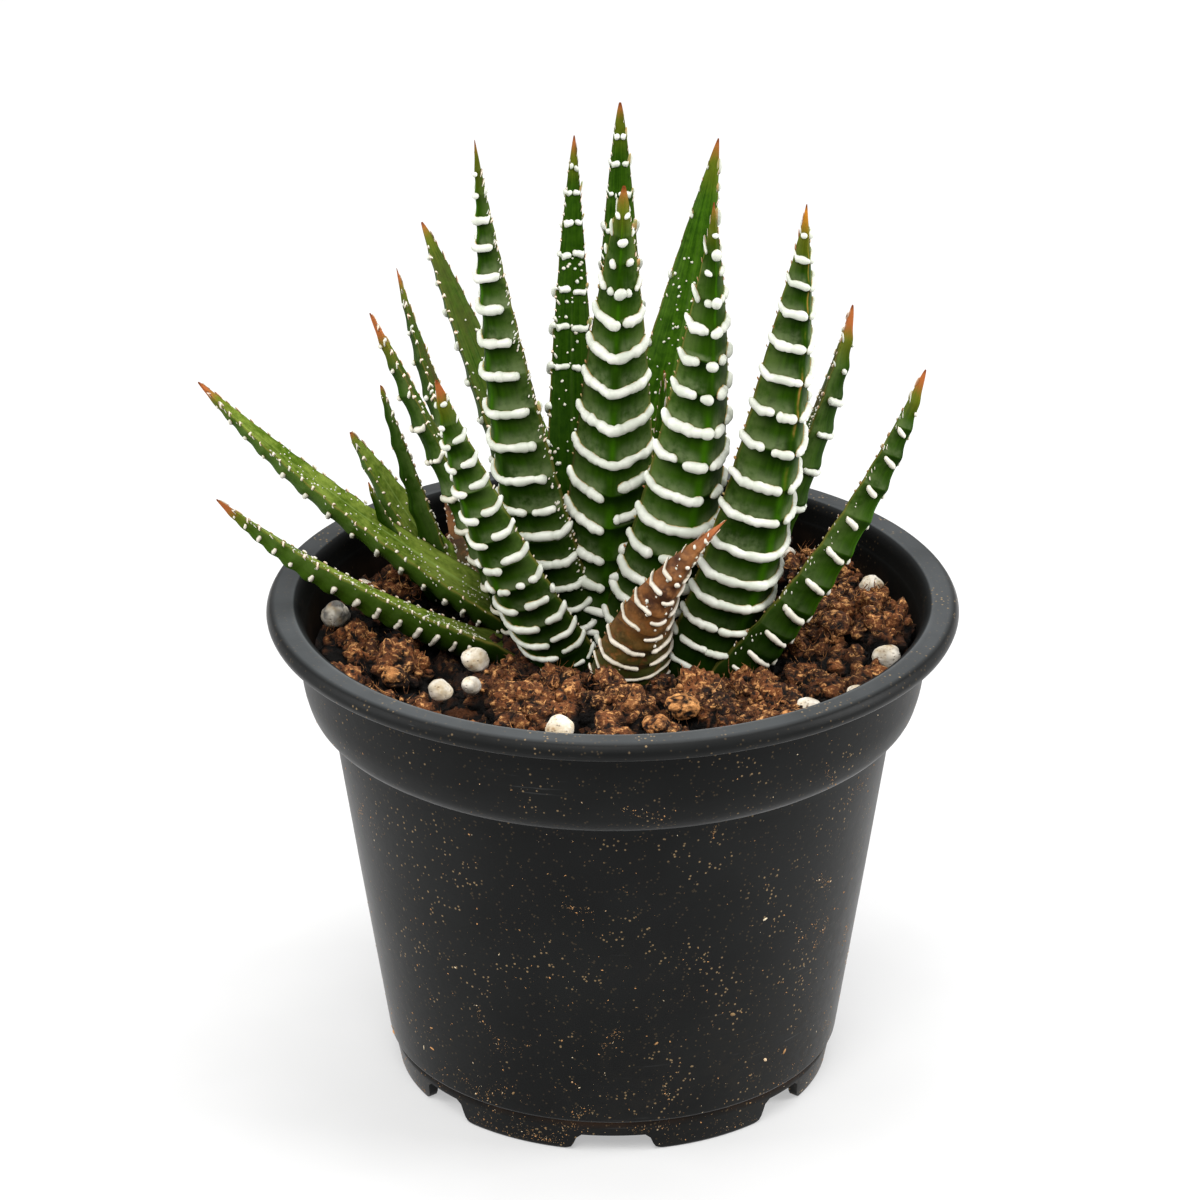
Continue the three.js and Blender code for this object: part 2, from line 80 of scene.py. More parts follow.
def soft_light(name, place, size, power, tint):
    """A square light at place that faces the middle of the plant. Metres and watts."""
    light = bpy.data.objects.new(name, bpy.data.lights.new(name, "AREA"))
    light.data.shape, light.data.size = "SQUARE", size
    light.data.energy, light.data.color = power, tint
    light.location = place
    light.rotation_euler = (Vector((0, 0, 0.08)) - Vector(place)).to_track_quat("-Z", "Y").to_euler()
    bpy.context.scene.collection.objects.link(light)


soft_light("key_light", (-0.15, -0.85, 1.1), 0.7, 17.0, (1.0, 0.995, 0.98))
soft_light("top_light", (0.1, 0.25, 1.4), 1.0, 20.0, (1.0, 1.0, 1.0))
soft_light("left_light", (-0.95, -0.1, 0.5), 0.5, 7.5, (1.0, 1.0, 1.0))
soft_light("right_light", (0.95, -0.1, 0.5), 0.5, 12.0, (1.0, 1.0, 1.0))
world = bpy.data.worlds.new("studio")
world.use_nodes = True
world.node_tree.nodes["Background"].inputs["Color"].default_value = (1.0, 1.0, 1.0, 1.0)
world.node_tree.nodes["Background"].inputs["Strength"].default_value = SURROUND
bpy.context.scene.world = world


class Wire:
    """A node socket that takes part in Python sums: value + 0.5 adds a Math node, and mix blends two
    colours with a Mix node."""

    def __init__(self, tree, socket=None):
        self.tree, self.socket = tree, socket

    def node(self, kind, settings, sockets, output=0):
        """Adds a node: its settings first, then its sockets' values or links. Gives one output."""
        made = self.tree.nodes.new(kind)
        for name, value in settings.items():
            setattr(made, name, value)
        for name, value in sockets.items():
            if isinstance(value, Wire):
                self.tree.links.new(value.socket, made.inputs[name])
            else:
                made.inputs[name].default_value = value
        return Wire(self.tree, made.outputs[output])

    def math(self, operation, first, second=0.0):
        return self.node("ShaderNodeMath", {"operation": operation}, {0: first, 1: second})

    def __add__(self, other):
        return self.math("ADD", self, other)

    def __sub__(self, other):
        return self.math("SUBTRACT", self, other)

    def __rsub__(self, other):
        return self.math("SUBTRACT", other, self)

    def __mul__(self, other):
        return self.math("MULTIPLY", self, other)

    def __abs__(self):
        return self.math("ABSOLUTE", self)

    __radd__, __rmul__ = __add__, __mul__

    def step(self, low, high):
        """0 below low and 1 above high, eased between them; low may be the larger."""
        sockets = {"Value": self, "From Min": low, "From Max": high}
        return self.node("ShaderNodeMapRange", {"interpolation_type": "SMOOTHSTEP"}, sockets)

    def mix(self, first, second):
        """The first colour where this value is 0 and the second where it is 1."""
        return self.node("ShaderNodeMix", {"data_type": "RGBA"}, {0: self, 6: first, 7: second}, 2)

    def field(self, name):
        """The number that the mesh holds under this name."""
        return self.node("ShaderNodeAttribute", {"attribute_name": name}, {}, "Fac")

    def place(self, scale=(1.0, 1.0, 1.0)):
        """The point on the object, in metres, stretched by scale."""
        where = self.node("ShaderNodeTexCoord", {}, {}, "Object")
        return self.node("ShaderNodeVectorMath", {"operation": "MULTIPLY"}, {0: where, 1: scale})

    def noise(self, where, scale, detail=3.0, rough=0.55):
        sockets = {"Vector": where, "Scale": scale, "Detail": detail, "Roughness": rough}
        return self.node("ShaderNodeTexNoise", {}, sockets, "Fac")

    def cells(self, where, scale, output="Distance"):
        return self.node("ShaderNodeTexVoronoi", {}, {"Vector": where, "Scale": scale}, output)

    def bump(self, height, strength, distance):
        sockets = {"Height": height, "Strength": strength, "Distance": distance}
        return self.node("ShaderNodeBump", {}, sockets)


def finish(name, looks, **fixed):
    """A material: looks(wire) gives the sockets that vary, and fixed the ones that don't."""
    material = bpy.data.materials.new(name)
    material.use_nodes = True
    shader = material.node_tree.nodes["Principled BSDF"]
    for socket, value in fixed.items():
        shader.inputs[socket.replace("_", " ")].default_value = value
    for socket, value in looks(Wire(material.node_tree)).items():
        material.node_tree.links.new(value.socket, shader.inputs[socket])
    return material


def pale_floor(wire):
    grain = wire.noise(wire.place(), 35.0, 2.0)
    return {"Base Color": grain.step(0.3, 0.7).mix(colour(148, 148, 148), colour(151, 151, 151))}


bpy.ops.mesh.primitive_plane_add(size=8.0, location=(0, 0, 0))
floor = bpy.context.object
floor.name = "studio_floor"
GLOW = {"Emission_Color": (1, 1, 1, 1), "Emission_Strength": SURROUND}
floor.data.materials.append(finish("white_sweep", pale_floor, Roughness=0.9, Specular_IOR_Level=0.1, **GLOW))

# ---------------------------------------------------------------- pot
# A thin-walled nursery pot, injection moulded in charcoal polypropylene: rolled rim, collar, tapered
# body and a foot ring with gates for the water. It has been used, so crumbs of soil and dust cling to it.
FLOOR_UNDER, FLOOR_TOP = 3.4, 5.0
POT_OUTSIDE = [  # radius, height, rounding
    (33.7, 0.0, 0.8),
    (34.75, 5.7, 0.15),
    (35.3, 6.05, 0.3),
    (39.5, 34.0, 2.0),
    (43.3, 60.1, 0.2),
    (43.9, 60.25, 0.35),
    (46.5, 62.0, 2.6),
    (47.6, 65.6, 2.6),
    (48.5, 74.5, 0.5),
    (49.8, 74.85, 0.3),
    (50.0, 75.85, 0.25),
    (52.5, 75.7, 0.5),
    (53.1, 77.0, 0.9),
    (52.3, 78.5, 1.3),
    (49.0, 78.6, 1.6),
]
POT_INSIDE = [
    (47.6, 77.6, 1.4),
    (47.0, 74.5, 0.8),
    (45.9, 64.8, 2.2),
    (42.0, 59.6, 2.0),
    (34.3, FLOOR_TOP, 0.8),
]
POT_UNDER = [(32.4, FLOOR_UNDER, 0.4), (32.3, 0.0, 0.6)]
GATES = [  # degrees from the front, half width at the top, height
    (0, 5.6, 3.1), (50, 3.9, 4.0), (90, 5.6, 3.1), (130, 3.9, 4.0),
    (180, 5.6, 3.1), (230, 3.9, 4.0), (270, 5.6, 3.1), (310, 3.9, 4.0),
]
GATE_REACH, DRAIN_REACH = (31.2, 38.0), (0.5, 8.0)  # what the cutters pass through, outwards and upwards
DRAIN_RING, DRAIN_RADIUS, FOOT_RADIUS = 22.0, 2.2, 34.0
INSIDE_FROM = 4.5  # a height within the floor: what lies above it, and within the wall, is the inside
WALL_MIDDLE = [FLOOR_TOP, 59.6, 64.8, 74.5, 77.0, 78.6], [34.8, 42.6, 46.5, 47.6, 47.9, 49.0]  # heights, radii
SPOKES = 320


def rounded(profile, steps=6):
    """A profile whose corners are quadratic curves: each starts and ends at the corner's rounding
    from it, or at 0.45 of the shorter side if that is less, and bends towards the corner."""
    corners = np.array([p[:2] for p in profile], float)
    radii = np.array([p[2] for p in profile])
    before, after = np.roll(corners, 1, 0) - corners, np.roll(corners, -1, 0) - corners
    near, far = np.linalg.norm(before, axis=1), np.linalg.norm(after, axis=1)
    cut = np.minimum(radii, 0.45 * np.minimum(near, far))[:, None]
    start, end = corners + before / near[:, None] * cut, corners + after / far[:, None] * cut
    t = np.linspace(0, 1, steps)[None, :, None]
    curve = (1 - t) ** 2 * start[:, None] + 2 * t * (1 - t) * corners[:, None] + t**2 * end[:, None]
    points = curve.reshape(-1, 2)
    return points[np.linalg.norm(points - np.roll(points, 1, 0), axis=1) > 1e-4]


def finer(points, longest):
    """An open profile with its long sides cut into equal parts no longer than longest."""
    spans = list(zip(points[:-1], points[1:]))
    parts = [max(1, math.ceil(np.linalg.norm(b - a) / longest)) for a, b in spans]
    cut = [a + (b - a) * np.arange(n)[:, None] / n for (a, b), n in zip(spans, parts)]
    return np.concatenate(cut + [points[-1:]])


def hold(mesh, fields):
    """Stores numbers on the mesh's points, one set for each name."""
    for name, values in fields.items():
        held = mesh.attributes.new(name, "FLOAT", "POINT")
        held.data.foreach_set("value", np.ascontiguousarray(values, np.float32).ravel())


def build_mesh(name, points, faces, fields, material):
    """A smooth mesh object from points in metres, face arrays, and the numbers held at each point."""
    mesh = bpy.data.meshes.new(name)
    mesh.vertices.add(len(points))
    mesh.vertices.foreach_set("co", np.ascontiguousarray(points, np.float32).ravel())
    corners = np.concatenate([f.ravel() for f in faces]).astype(np.int32)
    sizes = np.concatenate([np.full(len(f), f.shape[1]) for f in faces])
    mesh.loops.add(len(corners))
    mesh.loops.foreach_set("vertex_index", corners)
    mesh.polygons.add(len(sizes))
    mesh.polygons.foreach_set("loop_start", (np.cumsum(sizes) - sizes).astype(np.int32))
    mesh.update(calc_edges=True)
    hold(mesh, fields)
    mesh.shade_smooth()
    mesh.materials.append(material)
    made = bpy.data.objects.new(name, mesh)
    bpy.context.scene.collection.objects.link(made)
    return made


def tubes(rings):
    """Points and faces of closed tubes from rings[tube, ring, point]: quads join the rings, and a pole
    in the middle of the first and last ring closes each tube. The points of a ring run anticlockwise
    as seen from the last ring."""
    k, n, m, _ = rings.shape
    points = np.concatenate([rings.reshape(k, n * m, 3), rings[:, [0, -1]].mean(axis=2)], 1)
    i, j = np.meshgrid(np.arange(n - 1), np.arange(m), indexing="ij")
    a, b = i * m + j, i * m + (j + 1) % m
    quads = np.stack([a, b, b + m, a + m], -1).reshape(-1, 4)
    j = np.arange(m)
    first = np.stack([(j + 1) % m, j, np.full(m, n * m)], -1)
    last = np.stack([(n - 1) * m + j, (n - 1) * m + (j + 1) % m, np.full(m, n * m + 1)], -1)
    shift = (np.arange(k) * (n * m + 2))[:, None, None]
    fans = np.concatenate([first, last])
    return points.reshape(-1, 3), [(quads[None] + shift).reshape(-1, 4), (fans[None] + shift).reshape(-1, 3)]


def tube_field(values):
    """A number for each point of the tubes: its rings' values, and their means at the two poles."""
    k, n, m = values.shape
    return np.concatenate([values.reshape(k, n * m), values[:, [0, -1]].mean(axis=2)], 1).ravel()


def tube_mesh(name, rings, fields, material):
    """A mesh of closed tubes from rings in mm from the pot's axis, with numbers held on their points."""
    points, faces = tubes(rings)
    held = {key: tube_field(np.broadcast_to(values, rings.shape[:3])) for key, values in fields.items()}
    return build_mesh(name, points * MM + AXIS, faces, held, material)


def full_turn(n):
    """The angles of n equal steps round a circle."""
    return np.arange(n) / n * 2 * math.pi


def settle(piece, slot, *nodes):
    """Makes the piece part of the root body and hides the nodes it takes the place of; slot is not used."""
    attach(piece, "root")
    if nodes:
        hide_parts(*nodes)


def paint(base, *coats):
    """The base colour under coats of others, each laid on where its mask is 1."""
    for mask, shade in coats:
        base = mask.mix(base, shade)
    return base


def moulded_plastic(wire):
    """Charcoal, greyer on the rim's top, partly from wear and partly painted highlight, with a painted
    highlight along the rim's inner edge and lighter lines along the ledges, tiny tan specks and a film
    of dust that thicken towards the foot, and fine scratches. The inside is painted nearly black as
    shade, with a brown wash above the soil."""
    where = wire.place()
    height, inner, rubbed_and_highlit = wire.field("height"), wire.field("inner"), wire.field("rubbed_and_highlit")
    cloudy, fine = wire.noise(where, 48.0, 4.0), wire.noise(where, 600.0, 3.0)
    low = height.step(0.062, 0.004)
    picked = wire.cells(where, 1600.0, "Color").step(0.60, 0.66)
    patches = wire.noise(where, 105.0, 3.0, 0.65).step(0.52, 0.62)
    dots = wire.cells(where, 1600.0).step(0.34, 0.2) * picked
    dots = dots * (patches * (0.3 + 0.7 * low) + 0.12).step(0.0, 0.5)
    film = wire.noise(where, 21.0, 5.0, 0.7).step(0.46, 0.78) * fine.step(0.3, 0.7) * low
    streak = wire.noise(wire.place((50.0, 50.0, 1500.0)), 1.0, 3.0, 0.7)
    scratch = streak.step(0.66, 0.72) * wire.noise(where, 24.0, 2.0).step(0.52, 0.68)
    wash = inner * wire.noise(where, 90.0, 4.0).step(0.35, 0.7) * height.step(0.0755, 0.0705)
    base = paint(
        cloudy.step(0.3, 0.75).mix(colour(9, 10, 10), colour(17, 18, 18)),
        # rim wear and painted highlight: the rim's top, a painted highlight along its inner edge, and lighter lines
        # along the ledges
        (rubbed_and_highlit * (0.15 + 0.8 * cloudy), colour(78, 81, 83)),
        (dots * 0.7, colour(138, 116, 84)),
        (film * 0.2, colour(60, 54, 46)),
        (scratch * 0.3, colour(96, 97, 97)),
        # painted shade: the inside is darkened nearly to black
        (inner * 0.8, colour(3, 3, 3)),
        (wash * 0.5, colour(60, 42, 28)),
    )
    rough = 0.36 + 0.16 * cloudy + 0.3 * dots + 0.2 * film + 0.08 * fine + 0.3 * inner
    relief = fine * 0.5 + dots * 1.5 + streak * 0.3
    return {"Base Color": base, "Roughness": rough, "Normal": wire.bump(relief, 0.3, 0.0001)}


def turned_pot(name, material):
    """The pot's profile turned about its axis: radius times (cos, sin) of the angle, in SPOKES steps.
    The profile runs from the middle of the underside out, up the outside, over the rim and down the
    inside to the middle of the floor; a pole closes each end."""
    corners = [(0.8, FLOOR_UNDER, 0.0), *POT_UNDER, *POT_OUTSIDE, *POT_INSIDE, (0.8, FLOOR_TOP, 0.0)]
    profile = finer(rounded(corners), 1.6)
    angle = full_turn(SPOKES)
    around = np.stack([np.cos(angle), np.sin(angle)], 1)
    rings = np.concatenate(
        [profile[:, None, :1] * around[None], np.repeat(profile[:, None, 1:], SPOKES, 1)], 2
    )
    return tube_mesh(name, rings[None], {}, material)


def gate_cutter():
    """Eight blocks for the gates in the foot ring, flared at the ground and with their top corners cut
    off, and eight pins for the drain holes, all in one mesh: each is an outline swept along a line."""
    prisms = []
    for degrees, half, top in GATES:
        turn = math.radians(degrees)
        out, side = np.array([math.sin(turn), -math.cos(turn), 0]), np.array([math.cos(turn), math.sin(turn), 0])
        shape = [(-half - 2.6, -1), (half + 2.6, -1), (half + 1.9, 0.15), (half + 0.9, 0.6), (half + 0.5, 1.3),
                 (half + 0.1, top - 0.7), (half - 0.7, top), (0.7 - half, top), (-half - 0.1, top - 0.7),
                 (-half - 0.5, 1.3), (-half - 0.9, 0.6), (-half - 1.9, 0.15)]
        prisms.append([[out * depth + side * x + np.array([0, 0, z]) for x, z in shape] for depth in GATE_REACH])
    for hole in range(8):
        turn, ring = (hole + 0.5) * math.pi / 4, full_turn(24)
        x = DRAIN_RING * math.cos(turn) + DRAIN_RADIUS * np.cos(ring)
        y = DRAIN_RING * math.sin(turn) + DRAIN_RADIUS * np.sin(ring)
        prisms.append([list(np.stack([x, y, z + 0 * x], 1)) for z in DRAIN_REACH])
    points, faces = [], []
    for near, far in prisms:
        n, first = len(near), len(points)
        points += [*near, *far]
        faces += [[first + i for i in range(n)][::-1], [first + n + i for i in range(n)]]
        faces += [[first + i, first + (i + 1) % n, first + n + (i + 1) % n, first + n + i] for i in range(n)]
    mesh = bpy.data.meshes.new("gates")
    mesh.from_pydata([tuple(p * MM + AXIS) for p in points], [], faces)
    cutter = bpy.data.objects.new("gates", mesh)
    bpy.context.scene.collection.objects.link(cutter)
    return cutter


def cut_away(piece, cutter):
    """The piece less the cutter, applied to its mesh; the cutter is removed."""
    cut = piece.modifiers.new("cut", "BOOLEAN")
    cut.object, cut.operation, cut.solver = cutter, "DIFFERENCE", "EXACT"
    mesh = bpy.data.meshes.new_from_object(piece.evaluated_get(bpy.context.evaluated_depsgraph_get()))
    piece.modifiers.clear()
    piece.data = mesh
    bpy.data.objects.remove(cutter)


def places_in(items, name):
    """Where a mesh's points or faces are, in mm from the pot's axis."""
    flat = np.empty(len(items) * 3, np.float32)
    items.foreach_get(name, flat)
    return (flat.reshape(-1, 3) - AXIS) / MM


def is_inside(p):
    """Which places belong to the pot's inside: above the floor and within the middle of the wall."""
    return (np.hypot(p[:, 0], p[:, 1]) < np.interp(p[:, 2], *WALL_MIDDLE)) & (p[:, 2] > INSIDE_FROM)


CHARCOAL = finish("charcoal_plastic", moulded_plastic, Specular_IOR_Level=0.1, Sheen_Weight=0.2, Sheen_Roughness=0.3)
INSIDE = finish("charcoal_inside", moulded_plastic, Specular_IOR_Level=0.1)
pot = turned_pot("nursery_pot", CHARCOAL)
cut_away(pot, gate_cutter())
places = places_in(pot.data.vertices, "co")
radius, height = np.hypot(places[:, 0], places[:, 1]), places[:, 2]
hold(pot.data, {
    "height": height * MM,
    "inner": is_inside(places),
    # the rim's top, lighter from wear and painted highlight; a painted highlight along the rim's inner edge; lighter
    # lines along the ledges at 74.95, 60.25 and 5.9 mm
    "rubbed_and_highlit": 0.8 * np.clip((height - 77.9) / 0.5, 0, 1) * np.clip((52.3 - radius) / 0.8, 0, 1)
    + 0.5 * np.exp(-(((radius - 48.7) / 0.5) ** 2) - ((height - 78.5) / 0.5) ** 2)
    + 0.55 * np.exp(-(((height - 74.95) / 0.25) ** 2)) + 0.5 * np.exp(-(((height - 60.25) / 0.22) ** 2))
    + 0.45 * np.exp(-(((height - 5.9) / 0.22) ** 2)),
})
pot.data.set_sharp_from_angle(angle=math.radians(48))
pot.data.materials.append(INSIDE)
inner_faces = is_inside(places_in(pot.data.polygons, "center"))
pot.data.polygons.foreach_set("material_index", inner_faces.astype(np.int32))
settle(pot, "pot_plastic", "pot")


def dried_crumbs(wire):
    """Dried peat and sand on the plastic: tan to rust-orange, a few nearly white."""
    tone = wire.field("tone")
    base = tone.step(0.2, 0.8).mix(colour(122, 98, 66), colour(186, 136, 86))
    base = tone.step(0.85, 0.95).mix(base, colour(206, 190, 160))
    return {"Base Color": base, "Roughness": 0.7 + 0.2 * tone}


CRUMB = finish("dried_crumbs", dried_crumbs, Specular_IOR_Level=0.2)


def pot_crumbs(name, seed, count, small, large, lowest, highest):
    """Crumbs that stick to the outer wall: flattened grains, longer than wide, turned at random. Their
    heights crowd towards the foot, and nearly half of them lie along short arcs where water has run.
    None lies over a gate or on the pot's ledges."""
    draw = np.random.default_rng(seed)
    arcs = draw.random((70, 4))
    which, slide = arcs[draw.integers(0, len(arcs), count)], draw.random(count)
    on_arc = draw.random(count) < 0.45
    turn = 2 * math.pi * np.where(on_arc, which[:, 0] + 0.08 * (which[:, 2] - 0.5) * slide, draw.random(count))
    fall = which[:, 1] ** 2.2 + 0.16 * (which[:, 3] - 0.4) * slide + 0.01 * draw.normal(size=count)
    fall = np.where(on_arc, fall, draw.random(count) ** 2.4)
    height = lowest + (highest - lowest) * np.clip(fall, 0, 1)
    outside = finer(rounded(POT_OUTSIDE), 1.0)[:-12]  # as far as the top of the rim
    wall = np.interp(height, outside[:, 1], outside[:, 0])
    slope = np.interp(height + 0.5, outside[:, 1], outside[:, 0]) - wall
    gate = np.zeros(count, bool)
    for degrees, half, top in GATES:
        beside = np.abs(np.angle(np.exp(1j * (turn + math.pi / 2 - math.radians(degrees)))))
        gate |= (beside < (half + 1.5) / FOOT_RADIUS) & (height < top + 0.4)
    keep = ~gate & (np.abs(slope) < 0.35)
    turn, height, wall = turn[keep], height[keep], wall[keep]
    k = len(turn)
    length = small + (large - small) * draw.random(k) ** 4
    wide = length * draw.uniform(0.2, 0.7, k)
    heading = draw.uniform(0, math.pi, k)
    out = np.stack([np.cos(turn), np.sin(turn), 0 * turn], 1)
    level = np.stack([-np.sin(turn), np.cos(turn), 0 * turn], 1)
    rise = 0.13 * out + [0, 0, 1]  # up the leaning wall
    along = np.cos(heading)[:, None] * level + np.sin(heading)[:, None] * rise
    side = np.cross(out, along)
    centre = out * wall[:, None] + [0, 0, 1] * height[:, None]
    q, girth, theta = np.array([-0.8, 0.0, 0.8]), np.array([0.55, 1.0, 0.5]), full_turn(4)
    spine = centre[:, None, None] + (along[:, None] * length[:, None, None] * q[:, None])[:, :, None]
    ring = np.cos(theta)[:, None] * side[:, None, None] + 0.55 * np.sin(theta)[:, None] * out[:, None, None]
    rings = spine + girth[:, None, None] * (wide[:, None, None, None] * ring)
    settle(tube_mesh(name, rings, {"tone": draw.random((k, 1, 1))}, CRUMB), "soil")


pot_crumbs("pot_specks", 11, 7000, 0.05, 0.22, 1.0, 74.0)
pot_crumbs("pot_crumbs", 12, 90, 0.2, 0.65, 1.5, 48.0)

# ---------------------------------------------------------------- leaves
# Stiff, fleshy, three-sided leaves that clasp a short stem. Each is a smooth green skin with a small
# rust-coloured point, and on it lie raised white ropes of fused tubercles that cross the back from
# margin to margin and break up into beads higher up. Fine teeth line the margins.
SOIL_LEVEL = 69.5
HEART, PUP = (1.0, 9.0), (-23.5, 22.5)  # axes of the rosette and of the offset beside it
BURIED_TO, BURIED_TAPER = -0.55, 0.58  # the lowest t of a leaf's skin, and how fast it narrows on the way
BAND_EASE = 0.27  # how much closer the bands are at either end of a leaf
BARE_TIP, LAST_ROPE = 0.965, 0.985  # the t that no band's middle passes, and that no part of a rope passes
TUBERCLE, TOOTH_PITCH, LONG_ROPE, BEAD = 1.9, 2.1, 5.0, 1.2  # lengths in mm
WHOLE = ((-1.07, 1.07, 0.0),)  # a band in one piece: where it starts and ends across, and mm it is lifted
# A place on a leaf is t, from 0 at the soil to 1 at the tip, and s, from -1 to 1 across the back and on
# from 1 to 3 over the hollow face.
USUAL = dict(
    kind="grown",  # or young, or withered
    pup=False,  # whether it grows on the offset
    taper=0.62, point=0.15,  # how it narrows
    turn=0.0, sway=0.0,  # degrees about its length, and mm to one side
    keel=0.9,  # how soon the back is sharp
    pitch=4.8, crowd=0.0,  # mm between bands, and how much less towards the tip
    plan={0.0: WHOLE},  # the pieces of the bands, from each t on
    dots=0.6,  # the t where bands give way to beads
    rope=0.72, reach=1.07, dip=0.4,  # of a band: half its thickness, how far across, mm down at the keel
    aged=0.0,  # how brown the bands are
    inner=1.0,  # the t where bands on the hollow face start
    sprinkle=60, grains=0.2,  # how many loose tubercles lie on the hollow face, and their half size
    freckles=(0, 0, 0),  # more of them: from s, to s, and how many
    rust=3.0,  # mm of the point that are rust
    purple=0.0, gold=0.0, pale=0.0, deep=0.0,  # purple, gold and pale: how much sun has changed the green; the last: how much painted shade falls on it from leaves over it
)
